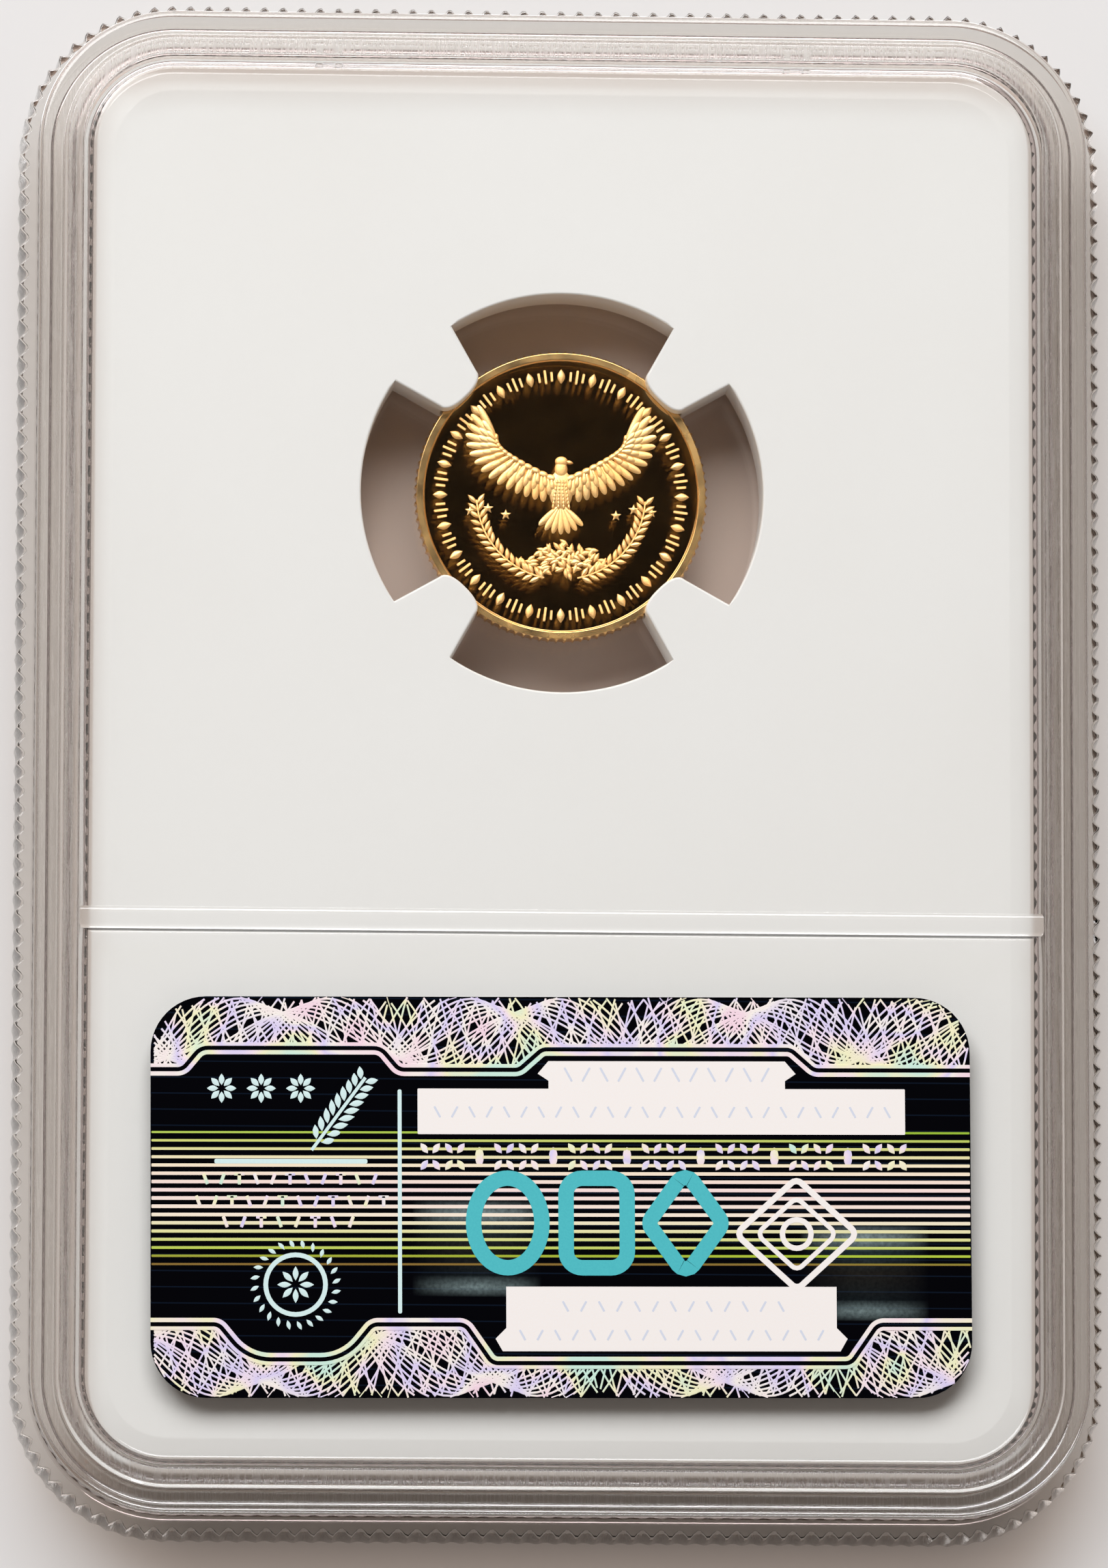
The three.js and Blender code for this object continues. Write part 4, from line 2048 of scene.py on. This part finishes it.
@dataclass
class FoilSticker:
    """The security sticker on the rear window: a dark middle panel between two guilloche bands.

    Everything is drawn from the sheet's middle, X to the right and Y up.
    """

    corner: float = 3.1
    turn: float = math.radians(0.38)
    band: float = 9.0
    panel: float = 6.75
    stripe_pitch: float = 0.46
    stripe_reach: float = 3.6
    foot: float = 0.05  # where print starts, a little inside the base

    def build(self, ornament: Ornament, strands: Tree) -> Piece:
        """Builds the sticker.

        Args:
            ornament: The maker of repeated forms.
            strands: The tree that draws bundles of strands.

        Returns:
            The sticker.
        """
        low, high = node_box("security_hologram")
        self.middle = (low + high) / 2
        size = high - low
        self.sheet = PrintedSheet(size, self.corner, ornament, strands)
        self.half = size.x / 2
        self.ink = {ink: EmbossedFoil(ink, middle=tuple(self.middle.xy)).material() for ink in Ink}
        base = Draft()
        base.prism(Outline(size.x, size.y, self.corner).points(12), 0.0, 0.055)
        self.sheet.print_draft("foil_base", base, self.ink[Ink.BLACK])
        self.bands()
        self.middle_panel()
        self.title_blocks()
        self.left_field()
        self.emblems()
        where = Matrix.Translation(Vector((self.middle.x, self.middle.y, low.z)) * MM)
        sticker = self.sheet.place("foil_sticker", where @ Matrix.Rotation(self.turn, 4, "Z"))
        declare(sticker, "hologram_foil", "security_hologram")
        return sticker

    def bands(self) -> None:
        """Crossing bundles of strands along the top and the bottom."""
        for side in (-1, 1):
            runs = (
                GuillocheRun(2.4, 3.7, 8, -0.16, phase=0.2 * side, phase_step=0.03, line=0.055),
                GuillocheRun(2.4, 3.7, 8, -0.16, phase=0.5 + 0.2 * side, phase_step=-0.03, line=0.055),
                GuillocheRun(2.8, 12.3, 4, 0.0, phase=0.1, phase_step=0.25, steps=260, line=0.05),
                GuillocheRun(2.7, 5.2, 9, 0.0, phase=0.3, phase_step=1 / 9, steps=160, line=0.05),
            )
            for number, run in enumerate(runs):
                self.sheet.print_strands(
                    f"strands_{side}_{number}", (0.0, side * self.band, 0.06), run, self.ink[Ink.LINES]
                )

    def edge_paths(self) -> tuple[list[Point], list[Point]]:
        """The dark panel's upper and lower edge, both from left to right.

        Returns:
            The upper and the lower edge.
        """
        x, y = self.half, self.panel
        upper = filleted(
            [
                (-x, y, 0),
                (-20.9, y, 1.0),
                (-19.9, 7.95, 0.5),
                (-10.2, 7.95, 0.5),
                (-9.2, y, 1.0),
                (-2.2, y, 1.0),
                (-0.9, 7.9, 0.3),
                (12.7, 7.9, 0.3),
                (14.0, y, 1.0),
                (x, y, 0),
            ]
        )
        lower = filleted(
            [
                (-x, -y, 0),
                (-18.9, -y, 1.0),
                (-17.3, -8.7, 2.4),
                (-12.3, -8.7, 2.4),
                (-10.7, -y, 1.0),
                (-5.2, -y, 1.0),
                (-3.7, -8.9, 0.3),
                (15.9, -8.9, 0.3),
                (17.4, -y, 1.0),
                (x, -y, 0),
            ],
            8,
        )
        return upper, lower

    def middle_panel(self) -> None:
        """The dark panel, its double border and its stripes."""
        upper, lower = self.edge_paths()
        panel = Draft()
        outline = shifted(lower, -0.56) + shifted(upper, 0.56)[::-1]
        panel.prism(outline, self.foot, 0.082)
        self.sheet.print_draft("foil_panel", panel, self.ink[Ink.BLACK])
        border = Draft()
        for path, side in ((upper, 1), (lower, -1)):
            for distance, width in ((0.12, 0.24), (0.58, 0.2)):
                border.ribbon(shifted(path, side * distance), width, self.foot, 0.09)
        self.sheet.print_draft("foil_borders", border, self.ink[Ink.LINES])
        count = round(2 * self.stripe_reach / self.stripe_pitch) + 1
        stripes = Draft()
        for i in range(count):
            width = 0.1 + 0.1 * math.sin(math.pi * (i + 1) / (count + 1))
            y = self.stripe_reach - self.stripe_pitch * i
            stripes.prism(Outline(2 * self.half - 0.1, width, 0.03, (0.0, y)).points(1), self.foot, 0.086)
        self.sheet.print_draft("foil_stripes", stripes, self.ink[Ink.STRIPES])

    def title_blocks(self) -> None:
        """The pale blocks above and below, with faint rows of bars on them, and a row of ornament."""
        cream = Draft()
        ogee = [(12.5, 5.9), (12.5, 6.5), (13.1, 6.9), (12.5, 7.6), (-0.7, 7.6), (-1.3, 6.9), (-0.7, 6.5)]
        cream.prism([*map(Vector, [(-0.7, 5.9), *ogee])], self.foot, 0.0955)
        cream.prism(Outline(27.2, 2.55, 0.05, (5.6, 4.78)).points(2), self.foot, 0.096)
        left = [(-3.1, -5.0), (-3.1, -7.3), (-3.7, -7.9), (-3.3, -8.6)]
        right = [(15.5, -8.6), (15.9, -7.9), (15.3, -7.3), (15.3, -5.0)]
        cream.prism([*map(Vector, left + right)], self.foot, 0.096)
        self.sheet.print_draft("foil_blocks", cream, self.ink[Ink.CREAM])
        faint = []
        for y, left, right, height in (
            (6.85, 0.4, 11.4, 1.0),
            (4.75, -6.9, 18.2, 0.8),
            (-6.1, 0.2, 12.2, 0.75),
            (-7.7, -2.2, 14.4, 0.75),
        ):
            count = int((right - left) / 0.95)
            for i in range(count + 1):
                x = left + (right - left) * i / count
                faint.append(Mark(Vector((x, y, 0.08)), 0.5 * (-1) ** i, (0.13, height, 0.0185)))
        self.sheet.print_marks("foil_faint_rows", Shape.BAR, faint, self.ink[Ink.FAINT])
        leaves, dots = [], []
        for i in range(20):
            x = -7.3 + 1.37 * i
            middle = Vector((x, 2.25, self.foot))
            if i % 3 == 2:
                dots.append(Mark(middle, 0.0, (0.75, 1.7, 0.042)))
                continue
            for turn in (0.95, 2.19, -0.95, -2.19):
                leaves.append(Mark(middle, turn, (1.15, 0.6, 0.042)))
        self.sheet.print_marks("foil_leaf_row", Shape.LEAF, leaves, self.ink[Ink.LINES])
        self.sheet.print_marks("foil_dot_row", Shape.DOME, dots, self.ink[Ink.LINES])

    def left_field(self) -> None:
        """The left field: rosettes and a sprig, a rule, three rows of marks, and a round emblem."""
        lines, silver = self.ink[Ink.LINES], self.ink[Ink.SILVER]
        rules = Draft()
        rules.prism(Outline(0.22, 12.5, 0.08, (-9.0, -0.25)).points(2), self.foot, 0.093)
        rules.prism(Outline(8.5, 0.26, 0.08, (-15.05, 1.98)).points(2), self.foot, 0.093)
        self.sheet.print_draft("foil_rules", rules, silver)
        bars = []
        for y, left, right in ((1.0, -19.8, -10.4), (-0.25, -20.2, -9.9), (-1.4, -18.7, -11.7)):
            count = round((right - left) / 0.94)
            for i in range(count + 1):
                x = left + (right - left) * i / count
                bars.append(Mark(Vector((x, y, self.foot)), (0.35, -0.35, 0.0)[i % 3], (0.2, 0.7, 0.042)))
                if i % 3 == 2:
                    bars.append(Mark(Vector((x, y + 0.25, self.foot)), 0.0, (0.6, 0.16, 0.042)))
        self.sheet.print_marks("foil_bars", Shape.BAR, bars, lines)
        leaves = []
        for x in (-18.9, -16.7, -14.5):
            for i in range(8):
                leaves.append(Mark(Vector((x, 6.05, self.foot)), math.tau * i / 8, (1.0, 0.5, 0.044)))
        for i in range(9):
            at = Vector((-13.6 + 0.31 * i, 3.0 + 0.42 * i, self.foot))
            for tilt in (-0.75, 0.75):
                leaves.append(Mark(at, 0.93 + tilt, (1.45 - 0.06 * abs(i - 3), 0.55, 0.044)))
        round_emblem = (-14.8, -4.9)
        for i, (a, at) in enumerate(zip(full_turn(24), oval(round_emblem, (1.9, 1.9), 24))):
            leaves.append(Mark(Vector((*at, self.foot)), a + 0.5, (0.85, 0.36, 0.044)))
            if i % 3 == 0:
                leaves.append(Mark(Vector((*round_emblem, self.foot)), a, (1.25, 0.5, 0.044)))
        self.sheet.print_marks("foil_leaves", Shape.LEAF, leaves, silver)
        stem = Draft()
        stalk = [*map(Vector, ((-13.9, 2.6), (-12.4, 4.63), (-10.9, 6.66)))]
        stem.ribbon(stalk, 0.18, self.foot, 0.094)
        stem.loop(oval(round_emblem, (1.66, 1.66), 40), 0.26, self.foot, 0.094)
        self.sheet.print_draft("foil_stem", stem, silver)

    def emblems(self) -> None:
        """Three open figures in one colour, and nested lozenges beside them."""
        figures = Draft()
        corners = [(0.0, -2.9), (2.1, 0.0), (0.0, 2.9), (-2.1, 0.0)]
        for path in (
            oval((-3.0, -1.45), (1.9, 2.5), 60),
            Outline(3.4, 5.0, 0.9, (1.95, -1.45)).points(8),
            self.rounded(corners, (6.9, -1.45), 0.5),
        ):
            figures.loop(path, 0.86, self.foot, 0.1)
        self.sheet.print_draft("foil_figures", figures, self.ink[Ink.TEAL])
        nested = Draft()
        for scale, width in ((1.0, 0.34), (0.66, 0.26)):
            points = [(x * scale, y * scale) for x, y in ((0, -3.1), (3.4, 0), (0, 3.1), (-3.4, 0))]
            nested.loop(self.rounded(points, (13.1, -2.05), 0.4), width, self.foot, 0.098)
        nested.loop(oval((13.1, -2.05), (0.8, 0.8), 24), 0.3, self.foot, 0.098)
        self.sheet.print_draft("foil_lozenges", nested, self.ink[Ink.CREAM])

    @staticmethod
    def rounded(corners: list[Point], centre: Point, radius: float) -> list[Vector]:
        """A closed polygon with rounded corners, from its corners about a centre.

        Args:
            corners: The corners.
            centre: The polygon's middle.
            radius: The corners' fillet.

        Returns:
            The closed outline.
        """
        start = [(a + b) / 2 for a, b in zip(corners[-1], corners[0])]
        path = filleted([(*start, 0), *((x, y, radius) for x, y in corners), (*start, 0)], 4)[:-1]
        return [Vector(p) + Vector(centre) for p in path]


@dataclass
class GradingCard:
    """The printed card behind the front window. It looks down, and has no lettering."""

    corner: float = 1.5
    face: float = 0.29

    def build(self, ornament: Ornament, strands: Tree) -> Piece:
        """Builds the card.

        Args:
            ornament: The maker of repeated forms.
            strands: The tree that draws bundles of strands.

        Returns:
            The card.
        """
        low, high = node_box("grading_label")
        size = high - low
        sheet = PrintedSheet(size, self.corner, ornament, strands)
        card = CoatedCard("stock", "f0ede4").material()
        slate = CoatedCard("slate_ink", "4f6072").material()
        gold = CoatedCard("gold_ink", "b8964f").material()
        base = Draft()
        base.prism(Outline(size.x, size.y, self.corner).points(8), 0.0, self.face)
        sheet.print_draft("card_base", base, card)
        top = self.face + 0.012
        low_ink = self.face - 0.02
        frame_line = Draft()
        frame_line.loop(Outline(size.x - 2.4, size.y - 2.4, 1.0).points(6), 0.35, low_ink, top)
        frame_line.loop(Outline(size.x - 3.6, size.y - 3.6, 0.7).points(6), 0.15, low_ink, top)
        sheet.print_draft("card_frame", frame_line, gold)
        bar = Draft()
        bar.prism(Outline(size.x - 5.0, 4.6, 0.4, (0.0, 8.0)).points(4), low_ink, top)
        bar.prism(Outline(9.0, 9.0, 4.5, (-17.0, -1.4)).points(12), low_ink, top)
        sheet.print_draft("card_bar", bar, slate)
        rows = []
        left = -10.0
        for y, right, height in ((2.6, 21.0, 1.5), (-1.2, 17.0, 1.1), (-4.2, 12.0, 0.9)):
            count = round((right - left) / 1.3)
            for i in range(count + 1):
                x = left + (right - left) * i / count
                rows.append(Mark(Vector((x, y, low_ink)), 0.3 * (-1) ** i, (0.28, height, 0.032)))
        sheet.print_marks("card_rows", Shape.BAR, rows, slate)
        petals = [
            Mark(Vector((-17.0, -1.4, low_ink + 0.03)), math.tau * i / 12, (3.6, 0.9, 0.014))
            for i in range(12)
        ]
        sheet.print_marks("card_rosette", Shape.LEAF, petals, gold)
        for number, phase in enumerate((0.0, 0.5)):
            run = GuillocheRun(1.3, 6.0, 7, -0.1, phase=phase, phase_step=0.03, steps=160, line=0.05)
            sheet.print_strands(f"card_strands_{number}", (0.0, -9.2, low_ink + 0.02), run, gold)
        middle = (low + high) / 2
        # The card's face is its underside, so the flat drawing is turned over about Y.
        over = Matrix.Rotation(math.pi, 4, "Y")
        where = Matrix.Translation(Vector((middle.x, middle.y, high.z)) * MM) @ over
        label = sheet.place("grading_card", where)
        declare(label, "label_card", "grading_label")
        return label


# ---- Studio ---------------------------------------------------------------------------------


@dataclass(frozen=True)
class Studio:
    """Pale table top, one big soft lamp behind the slab, a dark ceiling and a long lens above.

    Args:
        floor_colour: The table top's colour.
        lamp_place: Middle of the lamp, in metres.
        lamp_size: Its sides.
        lamp_power: Its power in watts.
        lamp_colour: Its slightly cool light.
        horizon: Colour of the room near the horizon.
        ceiling: Colour of the room overhead.
    """

    floor_colour: str = "ecebe9"
    lamp_place: tuple[float, float, float] = (-0.13, 0.55, 0.69)
    lamp_size: Point = (0.9, 0.5)
    lamp_power: float = 9.1
    lamp_colour: str = "fbfcff"
    horizon: str = "9e9794"
    ceiling: str = "0b0a0a"
    room: float = 1.2
    camera_place: tuple[float, float, float] = (-37.8, -93.4, 682.1)
    camera_target: tuple[float, float, float] = (-0.30, -0.91, 4.0)
    camera_roll: float = math.radians(0.13)
    lens: float = 280.5

    def floor(self) -> None:
        """Makes the table top, just under the slab."""
        draft = Draft()
        draft.prism(Outline(2400, 2400, 20).points(3), -5.0, -0.02)
        material, tree, output = new_material("matt_table_top")
        body = add(
            tree, "ShaderNodeBsdfPrincipled", {"Base Color": linear(self.floor_colour), "Roughness": 0.9}
        )
        tree.links.new(body.outputs[0], output.inputs["Surface"])
        draft.build("table_top", [material])

    def lamp(self) -> None:
        """Makes the soft lamp and aims it at the slab."""
        light = bpy.data.lights.new("soft_box", "AREA")
        light.shape = "RECTANGLE"
        light.size, light.size_y = self.lamp_size
        light.energy = self.lamp_power
        light.color = linear(self.lamp_colour)[:3]
        lamp = bpy.data.objects.new("soft_box", light)
        lamp.location = self.lamp_place
        lamp.rotation_mode = "QUATERNION"
        lamp.rotation_quaternion = (-lamp.location).to_track_quat("-Z", "Y")
        bpy.context.collection.objects.link(lamp)

    def surroundings(self) -> None:
        """Makes the room: dark overhead, warm grey towards the horizon."""
        world = bpy.data.worlds.new("room")
        world.use_nodes = True
        tree = world.node_tree
        tree.nodes.clear()
        direction = add(tree, "ShaderNodeTexCoord").outputs["Generated"]
        height = add(tree, "ShaderNodeSeparateXYZ", {0: direction}).outputs["Z"]
        ramp = add(tree, "ShaderNodeValToRGB", {"Fac": height})
        fill_ramp(
            ramp,
            ((0.0, "8f8986"), (0.25, self.horizon), (0.8, "78706b"), (0.93, "26221f"), (1.0, self.ceiling)),
        )
        room = add(tree, "ShaderNodeBackground", {"Color": ramp.outputs[0], "Strength": self.room})
        output = add(tree, "ShaderNodeOutputWorld")
        tree.links.new(room.outputs[0], output.inputs["Surface"])
        bpy.context.scene.world = world

    def camera(self) -> None:
        """Makes the camera, almost straight above, with a slight roll."""
        data = bpy.data.cameras.new("camera")
        data.lens = self.lens
        data.sensor_width = 36.0
        data.clip_start, data.clip_end = 0.05, 10.0
        camera = bpy.data.objects.new("camera", data)
        camera.location = Vector(self.camera_place) * MM
        back = (Vector(self.camera_place) - Vector(self.camera_target)).normalized()
        right = Vector((0.0, 1.0, 0.0)).cross(back).normalized()
        level = Matrix((right, back.cross(right), back)).transposed()
        camera.rotation_mode = "QUATERNION"
        camera.rotation_quaternion = (level @ Matrix.Rotation(self.camera_roll, 3, "Z")).to_quaternion()
        bpy.context.collection.objects.link(camera)
        bpy.context.scene.camera = camera

    def build(self) -> None:
        """Sets the whole stage."""
        self.floor()
        self.lamp()
        self.surroundings()
        self.camera()
        bpy.context.scene.view_settings.view_transform = "Standard"


def main() -> None:
    """Builds the slab's pieces and the stage."""
    logging.basicConfig(level=logging.INFO, format="%(name)s: %(message)s")
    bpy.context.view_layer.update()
    shells = Shells()
    half = (shells.outline.width / 2 - shells.window_edge, shells.outline.height / 2 - shells.window_edge)
    rear = ClearStyrene(half, (0.0, shells.top), "rear", "fffffe", "dfd8d3")
    # The rear wall material's dark brown tint paints shade: the dark line along the step's outer wall.
    rear_wall = ClearStyrene(half, (0.0, shells.top), "rear_wall", "fffffe", "dfd8d3", tint="96807a")
    shells.rear(rear.material(), rear_wall.material())
    shells.front(ClearStyrene(half, (0.0, shells.top), "front", "fff4ee", "fbf9f7").material())
    CoreInsert().build(shells.outline, WhiteStyrene().material())
    ornament = Ornament()
    strands = guilloche_tree()
    Coin().build(ornament)
    FoilSticker().build(ornament, strands)
    GradingCard().build(ornament, strands)
    ornament.clear()
    Studio().build()
    bpy.context.view_layer.update()


if __name__ == "__main__":
    main()
